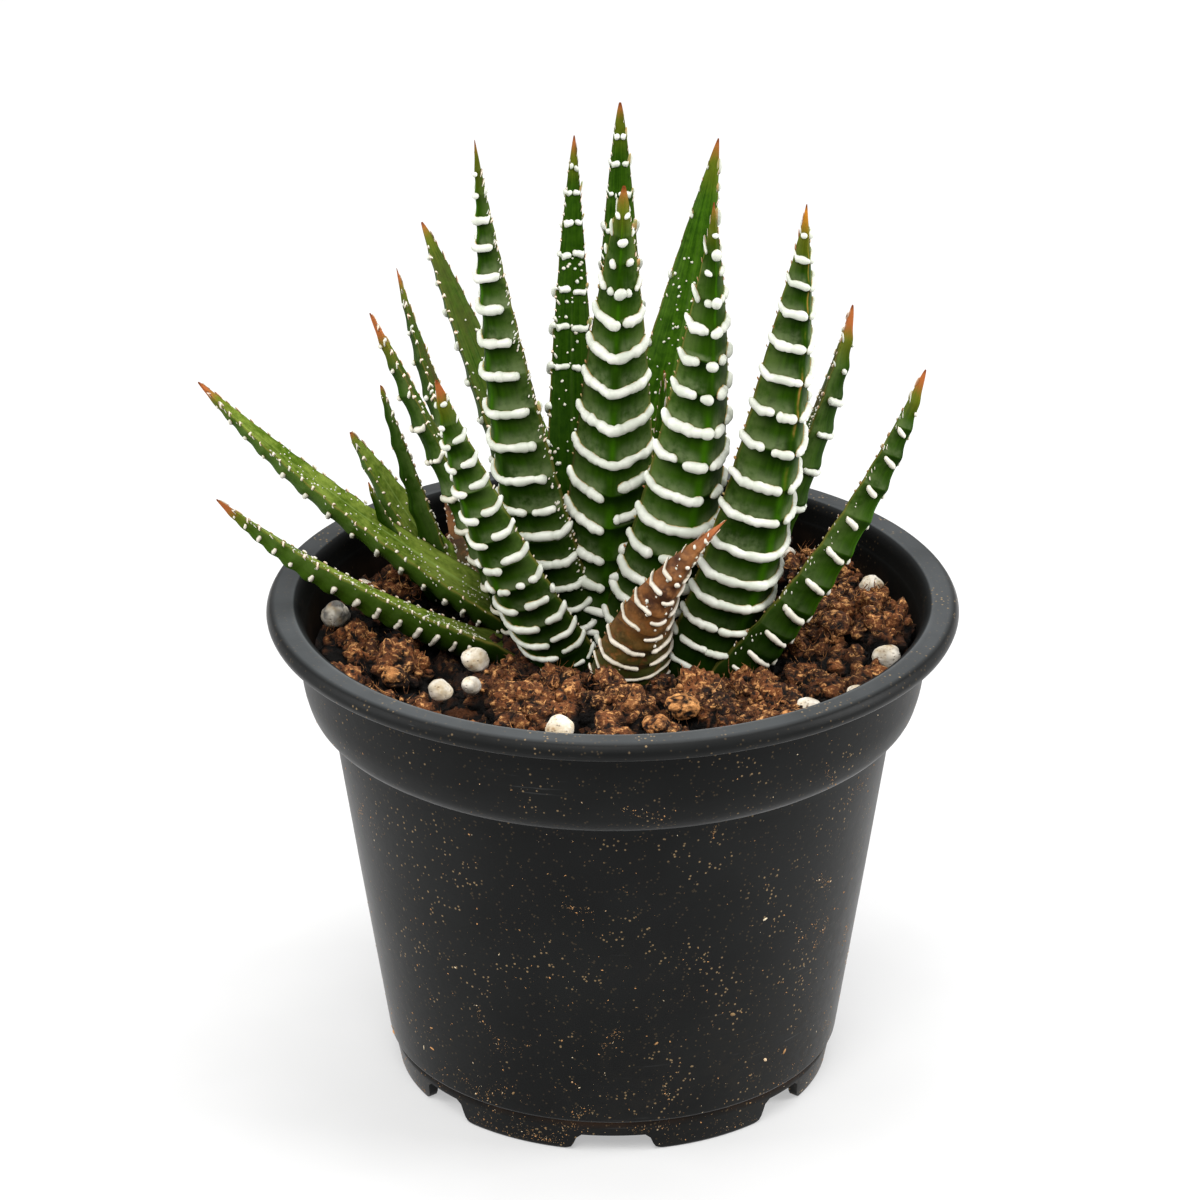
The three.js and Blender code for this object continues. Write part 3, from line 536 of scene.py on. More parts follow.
LEAVES = {  # foot, tip (its height above the soil), bow, width, then what is unusual about the leaf
    1: ((2, 6), (4, 10, 56), 1, 7, dict(kind="young", rust=0.5)),
    2: ((-2, 11), (-1, 16, 50), 1, 7, dict(kind="young", rust=0.5)),
    3: ((5, 12), (8, 15, 40), 1, 7, dict(kind="young", rust=0.5)),
    4: ((-1, 1), (1.7, -8, 78.5), 2.5, 16.5, dict(
        taper=0.56, point=0.5, crowd=0.1, pitch=4.65, dots=0.74, dip=0.6, keel=2.0, rope=0.78,
        plan={0.0: ((-1.07, -0.04, 0.0), (0.08, 1.07, 1.9)), 0.38: WHOLE,
              0.69: ((-1.07, 0.12, 0.0), (0.26, 1.07, 0.2))})),
    5: ((1, 18), (1.3, 38, 75.5), 2, 12, dict(deep=0.45, pitch=5.2, inner=0.35, sprinkle=110, grains=0.3)),
    6: ((-6, 17), (-5.8, 34, 71.5), 2, 11.5, dict(
        deep=0.62, taper=0.7, pitch=5.0, inner=0.42, sprinkle=130, grains=0.32)),
    7: ((3.5, 16), (16.5, 34, 71), 1, 19.5, dict(taper=0.78, dots=0.5, sprinkle=220, rust=4)),
    8: ((-8, 3), (-20.1, -9, 86), 2, 18.5, dict(
        taper=0.88, pitch=4.7, dots=0.86, dip=0.3, keel=0.9, freckles=(0.84, 1.0, 110),
        plan={0.0: ((-1.07, 0.1, 0.0), (0.2, 1.0, 0.8)), 0.3: ((-1.07, -0.7, -0.2), (-0.6, 0.84, 0.0))})),
    9: ((5, -2), (14.7, -15, 78.5), 3.5, 17, dict(
        turn=-6, sway=1.2, pitch=4.4, crowd=0.35, point=0.72, dots=0.7, rope=0.82, dip=0.2, keel=1.2,
        plan={0.0: WHOLE, 0.4: ((-1.07, 0.1, 0.0), (0.2, 1.07, -0.3)),
              0.6: ((-1.07, -0.38, 0.0), (-0.22, 0.12, -0.3), (0.25, 0.6, 0.1), (0.74, 1.07, -0.2))})),
    10: ((-7, 18), (-29.4, 28, 59.5), 0, 12.5, dict(purple=0.5, dots=0.3, rope=0.55, reach=0.8, rust=2.5, sprinkle=90)),
    11: ((-12, 10), (-33, 20, 55), 2.2, 10.5, dict(taper=0.78, purple=1.0, dots=0.6, rope=0.55, reach=0.95, rust=4)),
    12: ((13.5, 7), (36.3, 8, 53.5), 3.5, 14.5, dict(
        purple=0.9, dots=0.8, rope=0.52, sprinkle=160, rust=5, dip=0.9, plan={0.0: ((-0.75, 0.3, 0.0),)})),
    13: ((15, -6), (28.2, -14, 77.8), 3.5, 16.0, dict(
        taper=0.47, point=0.85, crowd=0.05, sway=0.6, turn=-14, pitch=4.7, dots=0.9, gold=1.0, rust=4.5,
        dip=0.2, keel=1.4,
        plan={0.0: ((-1.07, -0.45, 0.0), (-0.38, 1.07, 0.0)), 0.14: WHOLE,
              0.36: ((-1.07, 0.0, 0.0), (0.1, 1.07, -0.2)),
              0.5: ((-1.07, -0.5, 0.3), (-0.4, 0.0, 0.0), (0.1, 1.07, -0.2)),
              0.6: ((-1.07, 0.0, 0.0), (0.1, 1.07, -0.2))})),
    14: ((-8, -3), (-26, -17, 51.5), 2.5, 14.5, dict(
        pitch=3.9, dots=0.84, rope=0.6, rust=3.5, dip=0.2, keel=0.8,
        plan={0.0: ((-1.07, 0.4, 0.0), (0.5, 1.07, 0.7)),
              0.2: ((-1.07, -0.68, 0.4), (-0.5, 0.28, 0.0), (0.42, 1.07, 0.9))})),
    15: ((-14, 7), (-36.8, 10, 51.5), -0.2, 10.5, dict(dots=0.5, purple=0.6, rope=0.52, reach=0.95, rust=6, aged=0.2)),
    16: ((19.5, -7), (46.8, -4, 47.8), 3, 12.5, dict(
        dots=0.9, rope=0.5, sprinkle=120, grains=0.15, rust=4, dip=1.6, aged=0.2, freckles=(-1.0, -0.75, 40),
        plan={0.0: ((-0.78, -0.12, 0.0), (0.1, 0.7, 0.0)), 0.5: ((-0.8, -0.3, 0.0), (0.1, 0.7, 0.0))})),
    17: ((-16, 11), (-63.9, 18, 37), 2.4, 11.7, dict(
        pitch=3.9, dots=0.95, rope=0.42, dip=1.0, aged=0.2, sprinkle=150, grains=0.13, rust=4, pale=0.75,
        freckles=(0.82, 1.0, 24),
        plan={0.0: ((-0.7, -0.2, 0.0), (0.1, 0.7, 0.0)), 0.45: ((-0.5, -0.2, 0.0), (0.25, 0.6, 0.0))})),
    18: ((-20, 1), (-59.9, -4, 26.8), 2.2, 11, dict(
        pitch=3.1, dots=0.95, rope=0.4, dip=0.6, aged=0.3, sprinkle=170, grains=0.13, rust=4, pale=0.9,
        freckles=(0.82, 1.0, 24),
        plan={0.0: ((-0.7, -0.2, 0.0), (0.3, 0.72, 0.0)), 0.45: ((-0.5, -0.2, 0.0), (0.3, 0.62, 0.0))})),
    19: ((3.5, -9.2), (17, -16, 28.5), 1, 14.2, dict(
        taper=1.0, sway=-4, kind="withered", pitch=2.9, dots=0.56, rope=0.38, dip=0.8, aged=0.35, keel=1.3, sprinkle=0,
        plan={0.0: ((-1.07, -0.1, 0.0), (0.0, 1.07, 0.3)),
              0.3: ((-1.07, -0.3, 0.6), (-0.2, 0.3, -0.3), (0.4, 1.07, 0.5))},
        freckles=(-0.9, 0.9, 40), grains=0.3)),
    20: ((-6, 26), (-17, 46, 36), 4, 11, dict(sprinkle=120)),
    21: ((3, 27), (1, 56, 42), 4, 12, dict(sprinkle=120)),
    22: ((10, 24), (13, 50, 48), 4, 11, dict(sprinkle=120)),
    23: ((17, 18), (28, 28, 42), 2, 9.5, dict()),
    24: ((15, 24), (22, 43, 14), 2, 9.5, dict()),
    25: ((-25, 21), (-35.9, 22, 34.8), 0.2, 9, dict(pup=True, kind="young", rust=1.0, sprinkle=10)),
    26: ((-25.5, 24.5), (-41, 26, 25.2), 0.5, 10.5, dict(
        pup=True, kind="young", pale=0.7, rust=1.2, sprinkle=24, grains=0.12)),
    27: ((-26.5, 18.5), (-37.8, 16, 21), 1.5, 6, dict(pup=True, kind="young", rust=1.2, sprinkle=10)),
    28: ((-21, 26), (-27, 36, 17), 1, 7, dict(pup=True, kind="withered", rope=0.3, aged=0.6)),
}


def unit(v):
    """The vectors with their length made 1."""
    return v / np.linalg.norm(v, axis=-1, keepdims=True)


def scatter(cell, seed):
    """A repeatable whole number below 2^30 for each cube of a grid, by mixing its three numbers."""
    h = cell[..., 0] * 73856093 ^ cell[..., 1] * 19349663 ^ cell[..., 2] * 83492791 ^ seed * 26544357
    h = (h ^ (h >> 13)) * 1274126177 & 0x7FFFFFFF
    return (h ^ (h >> 15)) * 2246822519 >> 3 & 0x3FFFFFFF


def mottle(p, size, seed):
    """Smooth noise from -1 to 1: random numbers on the corners of cubes of this size, blended by
    3f² - 2f³ of the place between them."""
    q = np.asarray(p, float) / size + 31.7 * seed
    corner = np.floor(q).astype(np.int64)
    f = q - corner
    f = f * f * (3 - 2 * f)
    total = np.zeros(q.shape[:-1])
    for step in np.ndindex(2, 2, 2):
        weight = np.prod(np.where(np.array(step) == 1, f, 1 - f), axis=-1)
        total += weight * ((scatter(corner + np.array(step), seed) >> 8 & 0xFFFF) / 32767.5 - 1)
    return total


class Leaf:
    """One leaf, in millimetres from the pot's axis, with all of USUAL. Its middle line is a quadratic
    curve from foot to tip, bowed out from the heart, and a second one from the stem, under the soil, up
    to the foot."""

    def __init__(self, number, foot, tip, bow, width, unusual):
        self.number, self.width = number, width
        vars(self).update(USUAL | unusual)
        self.turn = math.radians(self.turn)
        heart = np.array([*(PUP if self.pup else HEART), SOIL_LEVEL])
        stem_radius, stem_depth = (1.4, 9.0) if self.pup else (4.2, 15.0)
        foot, tip = np.array([*foot, SOIL_LEVEL]), np.array([*tip[:2], SOIL_LEVEL + tip[2]])
        chord, half_way = unit(tip - foot), (foot + tip) / 2
        self.outward = unit((half_way - heart) * [1, 1, 0])
        bowed = unit(self.outward - chord * (self.outward @ chord))
        middle = half_way + 2 * bow * bowed + 2 * self.sway * np.cross(chord, bowed)
        away = foot - heart
        heel = heart + unit(away) * (stem_radius + 0.6)
        heel[2] -= min(1 + 0.55 * np.linalg.norm(away), stem_depth - 2)
        under = foot - 0.5 * np.linalg.norm(heel - foot) * unit(middle - foot)
        self.blade, self.buried = (foot, middle, tip), (heel, under, foot)
        q = np.linspace(0, 1, 60)
        self.length = np.linalg.norm(np.diff(self.line(q)[0], axis=0), axis=1).sum()
        count = max(round(self.length / self.pitch), 3)
        x = (np.arange(count) + 0.5) / count
        bands = (1 + self.crowd) * x - self.crowd * x**2 - BAND_EASE * np.sin(2 * math.pi * x) / (2 * math.pi)
        self.bands = bands[bands < BARE_TIP]
        self.draw = np.random.default_rng(4100 + number)
        self.marks = {
            "purple": self.purple, "rust": 1 - self.rust / self.length, "gold": self.gold,
            "pale": self.pale, "deep": self.deep, "tone": self.draw.random(),
        }

    def line(self, t):
        """Points and directions of the middle line: (1-q)²·a + 2q(1-q)·b + q²·c."""
        low = t < 0
        q = np.where(low, t + 1, t)[..., None]
        a, b, c = (np.where(low[..., None], u, v) for u, v in zip(self.buried, self.blade))
        point = (1 - q) ** 2 * a + 2 * q * (1 - q) * b + q**2 * c
        return point, unit((1 - q) * (b - a) + q * (c - b))

    def skin(self, t, s, swell=True):
        """The leaf's surface. s crosses the back from -1 to 1, and the hollow face from 1 to 3. The
        section is half an ellipse at the foot, and sharpens into a triangle with a rounded keel
        towards the tip; its width falls as (1 - t)^taper·(1 - point·t⁶). The back swells by up to
        0.4·exp(-(d/1.2)²) at d mm from a band, and both faces waver a little."""
        t, s = np.broadcast_arrays(np.asarray(t, float), np.asarray(s, float))
        point, along = self.line(t)
        behind = unit(self.outward - along * (along @ self.outward)[..., None])
        behind = behind * math.cos(self.turn) + np.cross(along, behind) * math.sin(self.turn)
        side = np.cross(along, behind)
        bare = np.clip(1 - t, 0, 1) ** self.taper * (1 - self.point * np.clip(t, 0, 1) ** 6)
        wide = self.width * np.where(t < 0, 1 + BURIED_TAPER * t, bare)
        thick = np.where(t < 0, self.width * 0.4 * (1 + 0.7 * t), wide * (0.4 + 0.12 * t))
        keel = np.clip(self.keel * t, 0, 1)
        on_back = s <= 1
        u = np.where(on_back, s, 2 - s)
        soft = (np.sqrt(u * u + 0.04) - 0.2) / 0.8198  # |u|, rounded where it is 0
        flat = np.where(on_back, np.sin(u * math.pi / 2) * (1 - keel) + u * keel, u)
        out = np.cos(u * math.pi / 2) * (1 - keel) + (1 - soft) * keel
        hollow = 0.055 * wide * (1 - np.abs(u) ** 1.5) * (1 - 0.6 * np.clip(t, 0, 1))
        rise = np.where(on_back, thick * out, hollow) - 0.4 * thick
        if swell:
            d = np.abs(t[..., None] - self.bands).min(-1) * self.length
            fade = np.clip(wide / 5, 0, 1)
            rise = rise + 0.4 * np.exp(-((d / 1.2) ** 2)) * np.where(on_back, 1 - 0.5 * np.abs(u), 0) * fade
            where = np.stack([u * 2.0 + 3 * on_back, t * self.length / 9, np.full(t.shape, self.number * 3.7)], -1)
            rise = rise + 0.25 * mottle(where, 1.0, 5) * fade * (1 - u * u)
        return point + side * (wide / 2 * flat)[..., None] + behind * rise[..., None]

    def frame(self, t, s):
        """Point, direction across, direction along, outward normal, and mm per s, by differences."""
        e = 1e-3
        across = self.skin(t, s + e, False) - self.skin(t, s - e, False)
        along = self.skin(t + e, s, False) - self.skin(t - e, s, False)
        normal = unit(np.cross(across, along))
        speed = np.linalg.norm(across, axis=-1) / (2 * e)
        across = unit(across)
        return self.skin(t, s), across, unit(np.cross(normal, across)), normal, speed


def leaf_skin(leaf, material, rows, columns):
    """The skin as one closed tube, from below the soil to the point, with rings that crowd towards the
    point. It holds t, how far across it is, which face it is on, and how far up it is from the band
    below to the next."""
    buried = np.linspace(BURIED_TO, 0, rows // 8, endpoint=False)
    t = np.concatenate([buried, 1 - np.linspace(1, 0.012, rows) ** 1.25])
    s = np.linspace(-1, 3, columns, endpoint=False)
    s = s + 0.10 * np.sin(s * math.pi * 2) / math.pi  # closer together at the edges
    tt, ss = np.meshgrid(t, s, indexing="ij")
    u = np.where(ss <= 1, ss, 2 - ss)
    steps = np.concatenate([[-1.0], leaf.bands, [1.0]])
    below = np.clip(np.searchsorted(steps, tt, "right") - 1, 0, len(steps) - 2)
    gap = (tt - steps[below]) / np.maximum(steps[below + 1] - steps[below], 1e-6)
    covered = min(1.0, sum(b - a for a, b, _ in leaf.plan[0.0]) / 1.8) * (leaf.kind != "young")
    fields = {
        "along": tt,
        "across": u,
        "back": 0.5 + 0.5 * np.where(ss <= 1, 1, -1) * np.clip((1 - np.abs(u)) * 9, 0, 1),
        "gap": 0.6 + (gap - 0.6) * np.where(tt < leaf.bands[0], 0, np.where(tt < leaf.dots, 1, 0.3)) * covered**2,
    }
    return tube_mesh(f"skin_{leaf.number:02d}", leaf.skin(tt, ss)[None], fields | leaf.marks, material)


# Beads of a row above leaf.dots, as (place across, half length in mm, size): wide rows take turns
# between one with a big bead on the keel and one with two short ropes, and so do narrow rows.
WIDE_ROWS = [
    [(-0.86, 1.1, 0.9), (-0.36, 0.35, 0.85), (0.03, 0.15, 1.2), (0.4, 0.35, 0.85), (0.88, 1.1, 0.9)],
    [(-0.62, 1.9, 0.95), (0.02, 0.1, 1.15), (0.62, 1.5, 0.95)],
]
NARROW_ROWS = [
    [(-0.95, 0.4, 0.8), (0.05, 0.12, 1.15), (0.95, 0.4, 0.8)],
    [(-0.98, 0.2, 0.6), (-0.45, 0.3, 0.9), (0.5, 0.3, 0.95), (0.98, 0.2, 0.6)],
]
LAST_ROWS = [[(-0.5, 0.12, 0.75), (0.7, 0.12, 0.7)], [(0.0, 0.1, 0.8)]]


def strokes(leaf):
    """Where the ropes and beads lie, as rows of (t, first s, last s, half thickness, age). Below
    leaf.dots the leaf's plan gives the pieces of each band, and a long one is cut in two by chance."""
    rows, draw = [], leaf.draw
    for row, t in enumerate(leaf.bands):
        half = float(leaf.frame(np.array(t), np.array(0.3))[4])  # mm across half of the back
        size = leaf.rope * min(1.0, 0.6 + 0.09 * half) * (0.6 + 0.4 * min(1.0, t / 0.2)) * draw.uniform(0.93, 1.07)
        if leaf.kind == "young":
            size = 0.26
            for place in draw.uniform(-0.8, 0.8, 2):
                t_here = t + draw.normal() * 0.01
                rows.append((t_here, place - 0.1 / half, place + 0.1 / half, size * draw.uniform(0.5, 1), 0.3))
        elif t < leaf.dots:
            pieces = leaf.plan[max(start for start in leaf.plan if start <= t)]
            for a, b, lift in pieces:
                a, b = (e * leaf.reach / 1.07 if abs(e) > 1 else e + 0.04 * draw.normal() for e in (a, b))
                ends = [a, b]
                if (b - a) * half > 5 and draw.random() < 0.2:
                    cut = draw.uniform(a + 0.25 * (b - a), b - 0.25 * (b - a))
                    ends = [a, cut - 0.5 * size / half, cut + 0.6 * size / half, b]
                for a, b in zip(ends[::2], ends[1::2]):
                    rows.append((t + (lift + 0.1 * draw.normal()) / leaf.length, a, b, size, leaf.aged))
        else:
            kinds = WIDE_ROWS if half > 3.3 else NARROW_ROWS if half > 1.3 else LAST_ROWS
            for place, reach, scale in kinds[row % 2]:
                place = place * leaf.reach + 0.04 * draw.normal()
                reach = max(reach * min(1, half / 4.5), 0.95 * size * scale) * draw.uniform(0.9, 1.15) / half
                if draw.random() < 0.93:
                    t_here = t + 0.12 * draw.normal() / leaf.length
                    rows.append((t_here, place - reach, place + reach, size * scale, leaf.aged))
    return rows


def inner_strokes(leaf):
    """Ropes across the upper part of the hollow face, where a leaf has them, in two or three pieces."""
    rows = []
    for t in leaf.bands[(leaf.bands > leaf.inner) & (leaf.bands < 0.95)]:
        cuts = sorted([leaf.draw.normal() * 0.08, *leaf.draw.uniform(-0.6, 0.6, leaf.draw.integers(0, 2))])
        edges = [-0.97, *cuts, 0.97]
        for a, b in zip(edges[:-1], edges[1:]):
            if b - a > 0.25:
                t_here = t + 0.1 * leaf.draw.normal() / leaf.length
                rows.append((t_here, 2 + a + 0.05, 2 + b - 0.05, 0.5 * leaf.draw.uniform(0.8, 1.1), 0.0))
    return rows


def loose_grains(leaf):
    """Small loose tubercles on the hollow face, thick near the foot, and fine teeth on both margins."""
    draw, n = leaf.draw, leaf.sprinkle
    t, s = 0.02 + 0.72 * draw.random(n) ** 1.5, 2 + draw.uniform(-0.95, 0.95, n)
    low, high, more = leaf.freckles
    t, s = np.append(t, draw.uniform(0.05, 0.9, more)), np.append(s, draw.uniform(low, high, more))
    n += more
    size = leaf.grains * draw.uniform(0.35, 1.0, n) ** 1.5 + 0.06
    teeth = np.arange(0.05, 0.95, TOOTH_PITCH / leaf.length)
    teeth = np.concatenate([teeth, teeth + 0.5 * (teeth[1] - teeth[0])]) + 0.004 * draw.normal(size=2 * len(teeth))
    edge = np.where(np.arange(len(teeth)) < len(teeth) // 2, 1.0, 3.0) + 0.02 * draw.normal(size=len(teeth))
    t, s = np.concatenate([t, teeth]), np.concatenate([s, edge])
    size = np.concatenate([size, draw.uniform(0.14, 0.3, len(teeth))])
    aged = np.concatenate([draw.uniform(0, 0.35, n), draw.uniform(0.2, 0.9, len(teeth))])
    speed = leaf.frame(t, s)[4]
    return [(a, b - 0.9 * c / v, b + 0.9 * c / v, c, d) for a, b, c, v, d in zip(t, s, size, speed, aged)]


def ropes(leaf, rows, samples, sides):
    """White ropes: a circle carried over the skin from s = a to b, pinched where one tubercle ends, of
    uneven girth, closed by round ends, half sunk, and dipping towards the keel."""
    t0, a, b, size, aged = (np.array(column)[:, None] for column in zip(*rows))
    x = (1 - np.cos(np.linspace(0.02, 0.98, samples) * math.pi)) / 2
    s = a + (b - a) * x[None]
    phase = leaf.draw.uniform(0, 50, t0.shape)
    on_back = s <= 1
    u = np.where(on_back, s, 2 - s)
    speed = leaf.frame(t0, s)[4]
    arc = np.concatenate([0 * t0, np.cumsum(0.5 * (speed[:, 1:] + speed[:, :-1]) * np.diff(s, axis=1), axis=1)], 1)
    here = np.stack([arc, phase + 0 * arc, 0 * arc], -1)
    wander = (0.22 + 0.2 * (s > 1.1)) * mottle(here, 2.2, 9) + 0.13 * mottle(here, 0.7, 8)
    bend = np.where(on_back, -leaf.dip * (1 - np.clip(np.abs(u), 0, 1) ** 1.4), 0.3 * (1 - u * u) * (s > 1.1))
    t = np.minimum(t0 + (wander + bend + 4.5 * np.clip(np.abs(u) - 0.8, 0, 1)) / leaf.length, LAST_ROPE)
    point, across, along, normal, speed = leaf.frame(t, s)
    run = np.minimum(arc, arc[:, -1:] - arc) + 0.04 * size
    ends = np.sqrt(np.clip(1 - np.clip(1 - run / size, 0, 1) ** 2, 0.02, 1))
    lump = np.abs(np.cos(math.pi * (arc / TUBERCLE + 0.9 * mottle(here, 2.4, 3))))
    girth = size * ends * (0.8 + 0.24 * np.sqrt(lump + 0.01) + 0.2 * mottle(here, 1.2, 4))
    theta = full_turn(sides)
    rings = point[:, :, None] + 0.15 * size[..., None, None] * normal[:, :, None] + girth[..., None, None] * (
        1.06 * np.cos(theta)[:, None] * along[:, :, None] + 0.95 * np.sin(theta)[:, None] * normal[:, :, None]
    )
    crown = np.sin(theta) * np.ones(rings.shape[:3])
    return rings, crown, aged[..., None] * np.ones(rings.shape[:3])


def white_wax(wire):
    """White tubercles: chalky crowns with a faint grey or cream cast, a thin tan line where they rise
    from the skin, and with age pinkish crowns with red-brown edges."""
    crown, aged, where = wire.field("crown"), wire.field("aged"), wire.place()
    cast = wire.noise(where, 330.0, 3.0)
    white = cast.step(0.35, 0.7).mix(colour(180, 184, 171), colour(207, 208, 198))
    foot = wire.noise(where, 800.0, 2.0).step(0.35, 0.65).mix(colour(168, 136, 84), colour(128, 138, 84))
    base = (crown + (cast - 0.5) * 0.4).step(-0.12, 0.16).mix(foot, white)
    old = crown.step(0.15, 0.95).mix(colour(138, 84, 52), colour(226, 202, 178))
    base = aged.mix(base, old)
    return {"Base Color": base, "Normal": wire.bump(wire.noise(where, 1500.0, 3.0), 0.25, 0.0001)}


def green_skin(wire):
    """Waxy olive green: a bright line down the keel, a mottled grey bloom along the sides and just above
    each band, a painted shadow under the next, and fine lines lengthways. Painted shade darkens the foot
    and leaves that others shade. The point is rust, the hollow face is yellower with a paler middle
    line, and on some leaves the sun has stained it purple-brown."""
    t, side, back = wire.field("along"), abs(wire.field("across")), wire.field("back")
    gap, tone, pale, gold = wire.field("gap"), wire.field("tone"), wire.field("pale"), wire.field("gold")
    inside, where = 1.0 - back, wire.place()
    cloud, fine = wire.noise(where, 150.0, 4.0), wire.noise(where, 900.0, 3.0)
    lengthways = {0: wire.field("across") * 9.0, 1: t * 6.0, 2: tone * 9.0 + back * 3.0}
    stripe = wire.noise(wire.node("ShaderNodeCombineXYZ", {}, lengthways), 1.0, 3.0, 0.6)
    mottled, streaked = cloud * 0.55 + fine * 0.45, cloud * 0.5 + stripe * 0.5
    grey = (side + (cloud - 0.5) * 0.5).step(0.3, 1.0) * (0.35 + 0.65 * t.step(0.1, 0.6))
    # painted shadow under each band on the back: darkest just below the next band up
    shadow_under_band = gap.step(0.45, 0.95) * side.step(1.1, 0.5) * back
    bloom = (gap + (cloud - 0.5) * 0.5).step(0.55, 0.05) * (side + (cloud - 0.5) * 0.2).step(0.02, 0.3)
    bloom = bloom * mottled.step(0.28, 0.6) * back * t.step(0.03, 0.2)
    keel = side.step(0.14, 0.0) * back * cloud.step(0.35, 0.6) * gap.step(1.0, 0.6)
    hollow = (stripe * 0.6 + fine * 0.4).step(0.3, 0.7).mix(colour(24, 54, 3), colour(60, 96, 14))
    sunlit = (cloud * 0.6 + fine * 0.4).step(0.35, 0.65).mix(colour(72, 92, 16), colour(142, 156, 68))
    groove = inside * side.step(0.10, 0.02) * t.step(0.95, 0.4)
    stain = wire.field("purple") * inside * streaked.step(0.36, 0.6) * t.step(0.12, 0.35)
    rim = side.step(0.92, 0.99) * stripe.step(0.3, 0.6)
    spine = gold * back * side.step(0.07, 0.0) * t.step(0.4, 0.6) * cloud.step(0.4, 0.55)
    from_point = t - wire.field("rust") + (cloud - 0.5) * 0.05 + (stripe - 0.5) * 0.05
    base = paint(
        streaked.step(0.3, 0.7).mix(colour(15, 35, 0), colour(37, 66, 3)),
        (tone * 0.3, colour(38, 68, 5)),
        (grey * mottled.step(0.3, 0.6) * 0.5, colour(88, 104, 56)),
        # painted shadow under each band
        (shadow_under_band * 0.9, colour(5, 20, 0)),
        (bloom * 0.62, colour(112, 124, 88)),
        (keel * 0.5, colour(50, 96, 2)),
        (inside * 0.7, hollow),
        (inside * pale * 0.75, sunlit),
        (back * pale * 0.4, colour(74, 104, 26)),
        (groove * (0.1 + 0.4 * pale), colour(132, 156, 82)),
        # painted shade on leaves that others shade, heavier towards the foot
        (wire.field("deep") * (0.6 + 0.4 * t.step(0.9, 0.4)), colour(10, 32, 1)),
        (stain * 0.85, colour(66, 46, 32)),
        # painted shade: darker towards the foot on the back, and at the very foot on both faces
        (t.step(0.42, 0.02) * back * 0.6, colour(6, 20, 1)),
        (t.step(0.2, -0.05) * 0.6, colour(10, 22, 2)),
        (rim * 0.5, colour(120, 104, 50)),
        (spine * 0.8, colour(140, 100, 48)),
        (from_point.step(-0.08, 0.01) * 0.6, colour(96, 98, 22)),
        (from_point.step(-0.01, 0.04), gold.mix(colour(144, 82, 42), colour(176, 112, 34))),
        (t.step(0.98, 0.996), colour(96, 46, 20)),
    )
    rough = 0.4 + 0.2 * cloud + 0.2 * bloom
    return {"Base Color": base, "Roughness": rough, "Normal": wire.bump(fine * 0.5 + stripe * 0.8, 0.3, 0.00025)}


def brown_skin(wire):
    """A drying leaf: rusty brown, olive at its foot, darker in blotches, with a painted shadow under each band, orange
    at the point.
    """
    t, where = wire.field("along"), wire.place()
    cloud, fine = wire.noise(where, 260.0, 4.0), wire.noise(where, 900.0, 3.0)
    base = paint(
        cloud.step(0.35, 0.65).mix(colour(58, 30, 12), colour(124, 78, 38)),
        (fine.step(0.5, 0.7) * 0.5, colour(150, 102, 58)),
        (t.step(0.55, 0.05) * fine.step(0.25, 0.55), colour(44, 50, 10)),
        # painted shadow under each band
        (wire.field("gap").step(0.6, 0.98) * 0.6, colour(40, 22, 10)),
        (t.step(0.8, 0.98), colour(160, 88, 44)),
    )
    return {"Base Color": base, "Roughness": 0.45 + 0.2 * fine, "Normal": wire.bump(fine + cloud, 0.5, 0.0003)}


GREEN = finish("green_leaf", green_skin, Specular_IOR_Level=0.02)
BROWN = finish("withered_leaf", brown_skin, Specular_IOR_Level=0.25)
WHITE = finish("white_tubercles", white_wax, Roughness=0.45, Specular_IOR_Level=0.3)


def white_relief(leaf):
    """All the ropes, beads and teeth of one leaf in one mesh, the shorter ones of fewer faces."""
    rows = strokes(leaf) + inner_strokes(leaf)
    length = [(r[2] - r[1]) * leaf.width * 0.5 * (1 - r[0]) ** leaf.taper for r in rows]
    spans = [(LONG_ROPE, 999, 84, 10), (BEAD, LONG_ROPE, 26, 10), (0, BEAD, 7, 8)]  # mm, mm, rings, sides
    groups = [([r for r, mm in zip(rows, length) if low < mm <= high], *counts) for low, high, *counts in spans]
    points, faces, crowns, ages, count = [], [], [], [], 0
    for group, samples, sides in [*groups, (loose_grains(leaf), 5, 6)]:
        if group:
            rings, crown, aged = ropes(leaf, group, samples, sides)
            p, f = tubes(rings)
            points.append(p), crowns.append(tube_field(crown)), ages.append(tube_field(aged))
            faces += [part + count for part in f]
            count += len(p)
    fields = {"crown": np.concatenate(crowns), "aged": np.concatenate(ages)}
    return build_mesh(f"bands_{leaf.number:02d}", np.concatenate(points) * MM + AXIS, faces, fields, WHITE)


leaves = []
for number, row in LEAVES.items():
    leaf = Leaf(number, *row)
    leaves.append(leaf)
    small, withered = leaf.width < 9, leaf.kind == "withered"
    slot = "withered_leaf" if withered else "leaf"
    skin = leaf_skin(leaf, BROWN if withered else GREEN, 110 if small else 180, 36 if small else 48)
    settle(skin, slot, f"leaf_{number:02d}")
    settle(white_relief(leaf), slot)

# ---------------------------------------------------------------- stems
# The short stem of the rosette and that of the offset: pale green stubs that only show between the
# leaf bases from straight above.


def pale_stem(wire):
    speckled = wire.noise(wire.place(), 300.0, 3.0)
    return {"Base Color": speckled.step(0.3, 0.7).mix(colour(96, 116, 60), colour(140, 150, 92))}


def stub(name, axis, radius, low, high, node, material):
    """A stub turned about a vertical axis: its radius is its widest times sqrt(1 - z⁶), where z runs
    from -1 at its foot to 1 at its top."""
    z, angle = np.linspace(-0.98, 0.98, 20)[:, None], full_turn(32)
    r, half = radius * (1 - np.abs(z) ** 6) ** 0.5, (high - low) / 2
    level = SOIL_LEVEL + low + half + half * z + 0 * angle
    rings = np.stack([axis[0] + r * np.cos(angle), axis[1] + r * np.sin(angle), level], -1)
    settle(tube_mesh(name, rings[None], {}, material), "stem", node)


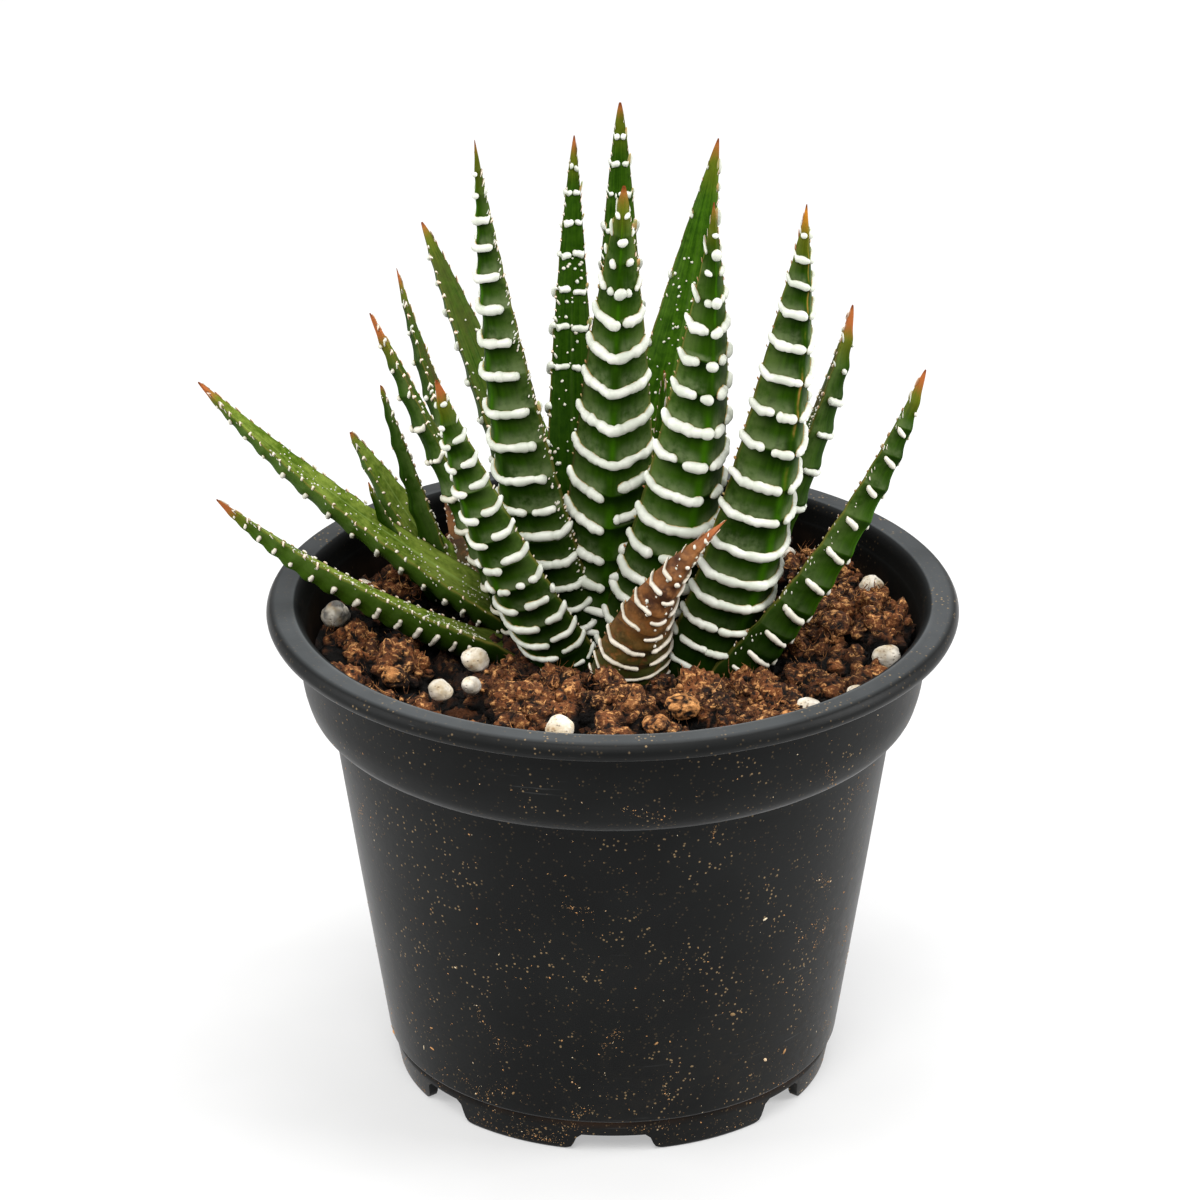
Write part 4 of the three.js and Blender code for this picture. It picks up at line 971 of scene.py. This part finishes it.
STEM_GREEN = finish("pale_stem", pale_stem, Roughness=0.6)
stub("rosette_stem", HEART, 4.0, -14.8, 0.3, "stem", STEM_GREEN)
stub("offset_stub", PUP, 1.3, -8.8, -1.6, "offset_stem", STEM_GREEN)

# ---------------------------------------------------------------- soil
# Coarse potting mix: clods of peat and coir that are themselves clusters of crumbs, with loose crumbs
# and curled fibres on them and deep gaps between, heaped a little round the plant. The gaps and
# creases are painted dark as shade, and crumbs that stand out are painted lighter, partly as highlight.
SPIRAL, CLODS, SPREAD = 2.39996, 130, 45.5  # radians from one clod to the next, how many, mm outwards
BED, SUNK = 2.0, 1.5  # mm under the ground's height: the bed, and the middles of the clods
BIG_CLODS = [  # x, y, radius, rise
    (-11.5, -20, 6.4, 3.4), (1.5, -24, 4.6, 3.0), (24, -20.5, 5.2, 3.2), (-30, -23, 4.6, 2.8),
    (34, 8, 5.6, 3.0), (-12, 34, 5.8, 3.4), (19, 36, 5.4, 3.2), (34.5, 21, 4.6, 3.0), (-29.5, 28.5, 4.2, 2.8),
]
TAN_LUMPS = np.array([  # place, and half sizes
    [10.2, -25.4, 71.6, 2.6, 2.2, 1.9], [6.4, -30.1, 70.8, 2.3, 1.9, 1.5],
    [27.0, -27.5, 70.6, 2.4, 1.7, 1.6], [-33.0, -14.0, 71.2, 1.9, 1.6, 1.5],
])
PERLITE = [  # x, y, radius, and how much of it is grey
    (-42.6, 5.0, 2.3, 0.9), (-20.9, -9.6, 2.1, 0.1), (-25.9, -21.0, 1.9, 0.3), (-21.3, -18.5, 1.5, 0.5),
    (-7.8, -33.2, 2.1, 0.0), (29.3, -22.0, 1.9, 0.2), (41.6, -9.8, 2.1, 0.4), (40.4, 15.4, 2.0, 0.1),
    (-39, 17.5, 1.8, 0.2), (-4, 39, 2.3, 0.2), (27.5, 30.5, 1.7, 0.2), (36.5, -19.5, 1.4, 0.3),
]


def share(n):
    """A repeatable number from 0 to 1 for each whole n: the fraction of 43758.5453·sin(127.1n + 11.7)."""
    value = np.sin(n * 127.1 + 11.7) * 43758.5453
    return value - np.floor(value)


def ground(x, y):
    """The height between the clods: a heap of 3.2·(1 - (d/34)²) about the plant, less a hollow under
    the rosette's heart, and 3.6 mm more along the wall at the sides and the back, by 3f² - 2f³."""
    away, heart = np.hypot(x - 2, y - 2) / 34, np.hypot(x - HEART[0], y - HEART[1]) / 12
    edge = np.clip((np.hypot(x, y) - 27) / 15, 0, 1)
    bank = 3.6 * edge**2 * (3 - 2 * edge) * np.clip((y + 24) / 16, 0, 1) * np.clip((46 - y) / 12, 0, 1)
    return SOIL_LEVEL - 1.4 + 3.2 * np.clip(1 - away**2, 0, 1) - 7 * np.clip(1 - heart**2, 0, 1) + bank


def room_beside(x, y, z):
    """How far each point is outside all leaves, in mm: the distance to a leaf's middle line, less four
    tenths of its width there; and outside the grains of perlite."""
    p = np.stack([x, y, z], 1)
    room = np.full(len(x), 99.0)
    t = np.linspace(-0.3, 0.95, 40)
    for leaf in leaves:
        half = 0.4 * leaf.width * np.where(t < 0, 1 + BURIED_TAPER * t, (1 - np.clip(t, 0, 1)) ** leaf.taper)
        room = np.minimum(room, (np.linalg.norm(p[:, None] - leaf.line(t)[0][None], axis=2) - half).min(1))
    for px, py, radius, _ in PERLITE:
        room = np.minimum(room, np.hypot(x - px, y - py) - radius)
    return room


def clod_places():
    """x, y, radius and rise of the clods: a sunflower spiral of them, less those that would stand in a
    leaf or in a grain of perlite, and the big ones."""
    k = np.arange(CLODS)
    radius, rise = 2.4 + 2.6 * share(k + 900), 0.8 + 3.0 * share(k + 1300)
    out = np.minimum(SPREAD * np.sqrt((k + 0.5) / CLODS) + 2 * share(k) - 1, 45.8 - radius)
    turn = k * SPIRAL + 0.3 * share(k + 500)
    x, y = out * np.cos(turn), out * np.sin(turn)
    fits = (room_beside(x, y, ground(x, y) + 0.7 * rise) > 0.35 * radius)
    return np.concatenate([np.stack([x, y, radius, rise], 1)[fits], BIG_CLODS])


CLOD = clod_places()


def soil_height(x, y):
    """The bed, BED mm under the ground's height, with the highest of the clods on it: each is the top
    half of an ellipsoid whose middle is SUNK mm down, so it is (rise + SUNK)·sqrt(1 - (d/radius)²) high."""
    top = np.full(np.shape(x), -BED)
    for cx, cy, radius, rise in CLOD:
        d = np.hypot(x - cx, y - cy) / radius
        top = np.maximum(top, np.where(d < 1, (rise + SUNK) * np.sqrt(np.clip(1 - d * d, 0, 1)) - SUNK, -BED))
    return ground(x, y) + top


def daylight(x, y, z):
    """How much daylight reaches a place among the clods: little below the ground's height, and all of
    it from 2.2 mm above it."""
    return 0.16 + 0.84 * np.clip((z - ground(x, y) + 0.4) / 2.6, 0, 1)


def crumbly(p, seed):
    """Relief in mm of a clump of flaky crumbs, from about -1 to 1, and how much light falls into it:
    two sizes of humps with sharp creases, each |smooth noise|, sharp ridges, 1 - 2·|noise|, and plain
    noise, coarse and fine."""
    clumps, flakes = np.abs(mottle(p, 2.1, seed)), np.abs(mottle(p * [1.0, 1.0, 1.6], 0.9, seed + 4))
    ridges = 1 - 2 * np.abs(mottle(p, 1.4, seed + 1))
    swells, specks = mottle(p, 3.8, seed + 2), mottle(p, 0.4, seed + 3)
    relief = 0.8 * swells + 1.5 * clumps + 0.9 * flakes + 0.3 * ridges + 0.12 * specks
    return relief - 0.75, np.clip(1.4 * clumps + 1.3 * flakes + 0.2 * ridges, 0, 1)


def brown_soil(wire):
    """Peat and coir: red-brown and fibrous, painted nearly black as shade in the creases and gaps, and tan
    where crumbs stand out, partly at random and partly as painted highlight.
    """
    where, tone, lit = wire.place(), wire.field("tone"), wire.field("lit")
    patch, grain = wire.noise(where, 170.0, 4.0), wire.noise(where, 1000.0, 4.0, 0.65)
    fibre = wire.noise(wire.place((500.0, 2200.0, 1400.0)), 1.0, 3.0, 0.6)
    base = paint(
        patch.step(0.32, 0.68).mix(colour(42, 21, 9), colour(110, 63, 32)),
        # tan: partly a random tone per lump, partly painted highlight where more light falls
        ((tone * 0.6 + lit * 0.4 + (patch - 0.5) * 0.9).step(0.8, 1.25), colour(186, 128, 74)),
        # painted highlight on the tips of crumbs
        (grain.step(0.54, 0.68) * lit.step(0.45, 0.95) * 0.8, colour(206, 152, 96)),
        # fibres, brighter where more light falls: partly painted light
        (fibre.step(0.56, 0.66) * (0.1 + 0.8 * lit), colour(204, 148, 90)),
        (grain.step(0.50, 0.36), colour(18, 9, 4)),
        # painted shade: nearly black in the creases and gaps, where little light falls
        ((lit + (patch - 0.5) * 0.2).step(0.78, 0.24), colour(4, 2, 1)),
    )
    return {"Base Color": base, "Roughness": 0.7 + 0.25 * grain, "Normal": wire.bump(grain + fibre * 0.8, 0.9, 0.0008)}


SOIL = finish("potting_soil", brown_soil, Specular_IOR_Level=0.2)


def soil_bed():
    """The soil under the clods: a disc of rings, BED mm under the ground's height, with crumbly relief,
    and a wall that follows the pot's inside down to its floor."""
    r = np.concatenate([[0.4], np.linspace(0.9, 45.7, 120)])
    angle = full_turn(320)
    x, y = r[:, None] * np.cos(angle), r[:, None] * np.sin(angle)
    z = ground(x, y) - BED
    relief, light = crumbly(np.stack([x, y, z], -1), 21)
    top = np.stack([x, y, z + 1.3 * relief], -1)[::-1]
    wall = [(33.8, 5.4), (41.6, 60.0), (45.2, 65.0), (45.6, 66.4)]
    low = np.array([np.stack([a * np.cos(angle), a * np.sin(angle), b + 0 * angle], -1) for a, b in wall])
    light = np.concatenate([np.zeros((len(wall), len(angle))), light[::-1]])
    # the bed's lit and tone come only from the light falling into its relief: painted light and shade
    return tube_mesh("soil_bed", np.concatenate([low, top])[None], {"lit": 0.45 * light, "tone": 0.2 * light}, SOIL)


def ball_grid(rows, columns):
    """Directions out from a ball's middle, in rings from the bottom up: (sin θ cos φ, sin θ sin φ, -cos θ)."""
    theta, phi = (np.arange(rows) + 0.5)[:, None] / rows * math.pi, full_turn(columns)
    return np.stack([np.sin(theta) * np.cos(phi), np.sin(theta) * np.sin(phi), -np.cos(theta) + 0 * phi], -1)


def lumps(name, seed, x, y, z, size, rows, columns, relief, dry=0.0):
    """Lumps as balls with semi-axes size[:, 3], turned at random about the vertical and tipped a
    little, their surface raised by relief times that of a cluster of crumbs."""
    draw = np.random.default_rng(seed)
    k = len(x)
    ball = ball_grid(rows, columns)
    body = ball[None] * size[:, None, None, :]
    offset = draw.uniform(0, 90, (k, 1, 1, 3))
    height, lit = crumbly(body + offset, seed)
    body = body + ball[None] * (relief * height)[..., None]
    turn, tip = draw.uniform(0, 2 * math.pi, k), draw.normal(0, 0.3, k)
    c, s, one, nil = np.cos(turn), np.sin(turn), np.ones(k), np.zeros(k)
    flat = np.stack([np.stack([c, -s, nil], -1), np.stack([s, c, nil], -1), np.stack([nil, nil, one], -1)], 1)
    c, s = np.cos(tip), np.sin(tip)
    tilt = np.stack([np.stack([one, nil, nil], -1), np.stack([nil, c, -s], -1), np.stack([nil, s, c], -1)], 1)
    body = np.einsum("kab,kbc,krdc->krda", flat, tilt, body) + np.stack([x, y, z], -1)[:, None, None]
    # tone: random per lump, plus a painted highlight where more light falls
    tone = draw.random((k, 1, 1)) ** 1.8 * 0.7 + 0.15 * lit + dry
    lit = lit * daylight(*np.moveaxis(body, -1, 0))
    settle(tube_mesh(name, body, {"tone": tone, "lit": lit}, SOIL), "soil")


def strewn(seed, count, small, large, stand, need):
    """Random places on the soil, and semi-axes, for small lumps of random size. Each stands up by
    stand of its size, less 0.3 mm, and need of its size has to be clear of leaves and perlite."""
    draw = np.random.default_rng(seed)
    size = small + (large - small) * draw.random(count) ** 2.2
    r, a = np.minimum(45.2 * np.sqrt(draw.random(count)), 45.0 - size), draw.uniform(0, 2 * math.pi, count)
    x, y = r * np.cos(a), r * np.sin(a)
    z = soil_height(x, y) + size * stand - 0.3
    keep = room_beside(x, y, z) > size * need
    axes = size[:, None] * draw.uniform(0.4, 1.15, (count, 3))
    return [v[keep] for v in (x, y, z, axes)]


def fibres(name, seed, count, thin, thick, short, long):
    """Curled fibres: three-sided tubes along an arc that turns as it goes, lies on the soil or on a
    clod, and lifts off at its ends."""
    draw = np.random.default_rng(seed)
    r, a = 44.0 * np.sqrt(draw.random(count)), draw.uniform(0, 2 * math.pi, count)
    length, half = short + (long - short) * draw.random(count) ** 2, draw.uniform(thin, thick, count)
    r = np.minimum(r, 44.6 - length / 2)
    x0, y0 = r * np.cos(a), r * np.sin(a)
    keep = room_beside(x0, y0, soil_height(x0, y0)) > length * 0.25
    x0, y0, length, half = (v[keep] for v in (x0, y0, length, half))
    k, q = len(x0), np.linspace(-0.5, 0.5, 8)
    heading, curl = draw.uniform(0, 2 * math.pi, k), draw.normal(0, 2.6, k)
    bearing = heading[:, None] + curl[:, None] * q
    step = length[:, None] / 7
    x = x0[:, None] + np.cumsum(np.cos(bearing) * step, 1) - 4 * np.cos(heading)[:, None] * step
    y = y0[:, None] + np.cumsum(np.sin(bearing) * step, 1) - 4 * np.sin(heading)[:, None] * step
    lift, tip = draw.uniform(0.0, 0.9, (k, 1)), draw.normal(0, 0.7, (k, 1))
    lift = lift + tip * q + draw.uniform(0, 1.8, (k, 1)) * (2 * q) ** 2
    line = np.stack([x, y, 0.5 * (soil_height(x, y) + soil_height(x0, y0)[:, None]) + lift], -1)
    along = unit(np.gradient(line, axis=1))
    side = unit(np.cross(along, [0, 0, 1.0]))
    over = np.cross(along, side)
    theta = full_turn(3)
    girth = half[:, None] * (1 - 0.8 * (2 * np.abs(q)) ** 3)
    rings = line[:, :, None] + girth[..., None, None] * (
        np.cos(theta)[:, None] * side[:, :, None] + np.sin(theta)[:, None] * over[:, :, None]
    )
    fields = {"tone": draw.uniform(0.2, 1.3, (k, 1, 1)), "lit": 0.8 * daylight(*np.moveaxis(line, -1, 0))[..., None]}
    settle(tube_mesh(name, rings, fields, SOIL), "soil")


settle(soil_bed(), "soil", "soil")
cx, cy, radius, rise = CLOD.T
draw = np.random.default_rng(30)
axes = np.stack([radius, radius * draw.uniform(0.75, 1.0, len(cx)), rise + SUNK], 1)
for label, pick, rows, columns in (("large", radius > 4.2, 40, 56), ("small", radius <= 4.2, 28, 38)):
    lumps(f"soil_clods_{label}", 31, cx[pick], cy[pick], (ground(cx, cy) - SUNK)[pick], axes[pick], rows, columns, 1.35)
lumps("soil_lumps", 32, *strewn(32, 150, 0.9, 2.4, 0.0, 0.8), 8, 10, 1.0)
lumps("soil_crumbs", 33, *strewn(33, 2400, 0.25, 1.0, 0.4, 0.8), 5, 7, 0.25, 0.1)
lumps("soil_tan_lumps", 35, *TAN_LUMPS[:, :3].T, TAN_LUMPS[:, 3:], 24, 34, 0.3, 0.8)
fibres("soil_fibres", 34, 1500, 0.04, 0.12, 1.0, 5.0)

# ---------------------------------------------------------------- perlite
# Grains of expanded volcanic glass, chalky white with small pits, stained by the soil about them. They
# lie loose on the soil, half sunk.


def chalky(wire):
    """Chalk white, tan where soil has stained it, grey on some grains, with small dark pits."""
    where, grey = wire.place(), wire.field("grey")
    stain, pits = wire.noise(where, 420.0, 4.0), wire.cells(where, 1500.0).step(0.3, 0.1)
    base = paint(
        stain.step(0.35, 0.65).mix(colour(176, 160, 132), colour(210, 203, 190)),
        (stain.step(0.42, 0.3) * 0.8, colour(134, 94, 60)),
        (grey * wire.noise(where, 260.0, 2.0).step(0.4, 0.55), colour(92, 92, 92)),
        (pits * 0.35, colour(120, 98, 74)),
    )
    return {"Base Color": base, "Normal": wire.bump(wire.noise(where, 1100.0, 4.0) - pits, 0.6, 0.0004)}


CHALK = finish("perlite_chalk", chalky, Roughness=0.85, Specular_IOR_Level=0.3)
ball = ball_grid(24, 32)
for index, (x, y, size, grey) in enumerate(PERLITE, start=1):
    swell = 0.17 * mottle(ball * size + 5 * index, 2.0, 51) + 0.05 * mottle(ball * size + 5 * index, 0.6, 52)
    low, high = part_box(f"perlite_{index:02d}")
    lie = 0.5 if index < 9 else -0.2  # the last four lie deeper
    z = max((low.z + high.z) / 2 / MM + 0.8, ground(x, y) + lie * size)
    rings = ball * (size * (1 + swell))[..., None] * [1.0, 0.9, 0.92] + [x, y, z]
    grain = tube_mesh(f"perlite_grain_{index:02d}", rings[None], {"grey": grey}, CHALK)
    settle(grain, "perlite", f"perlite_{index:02d}")
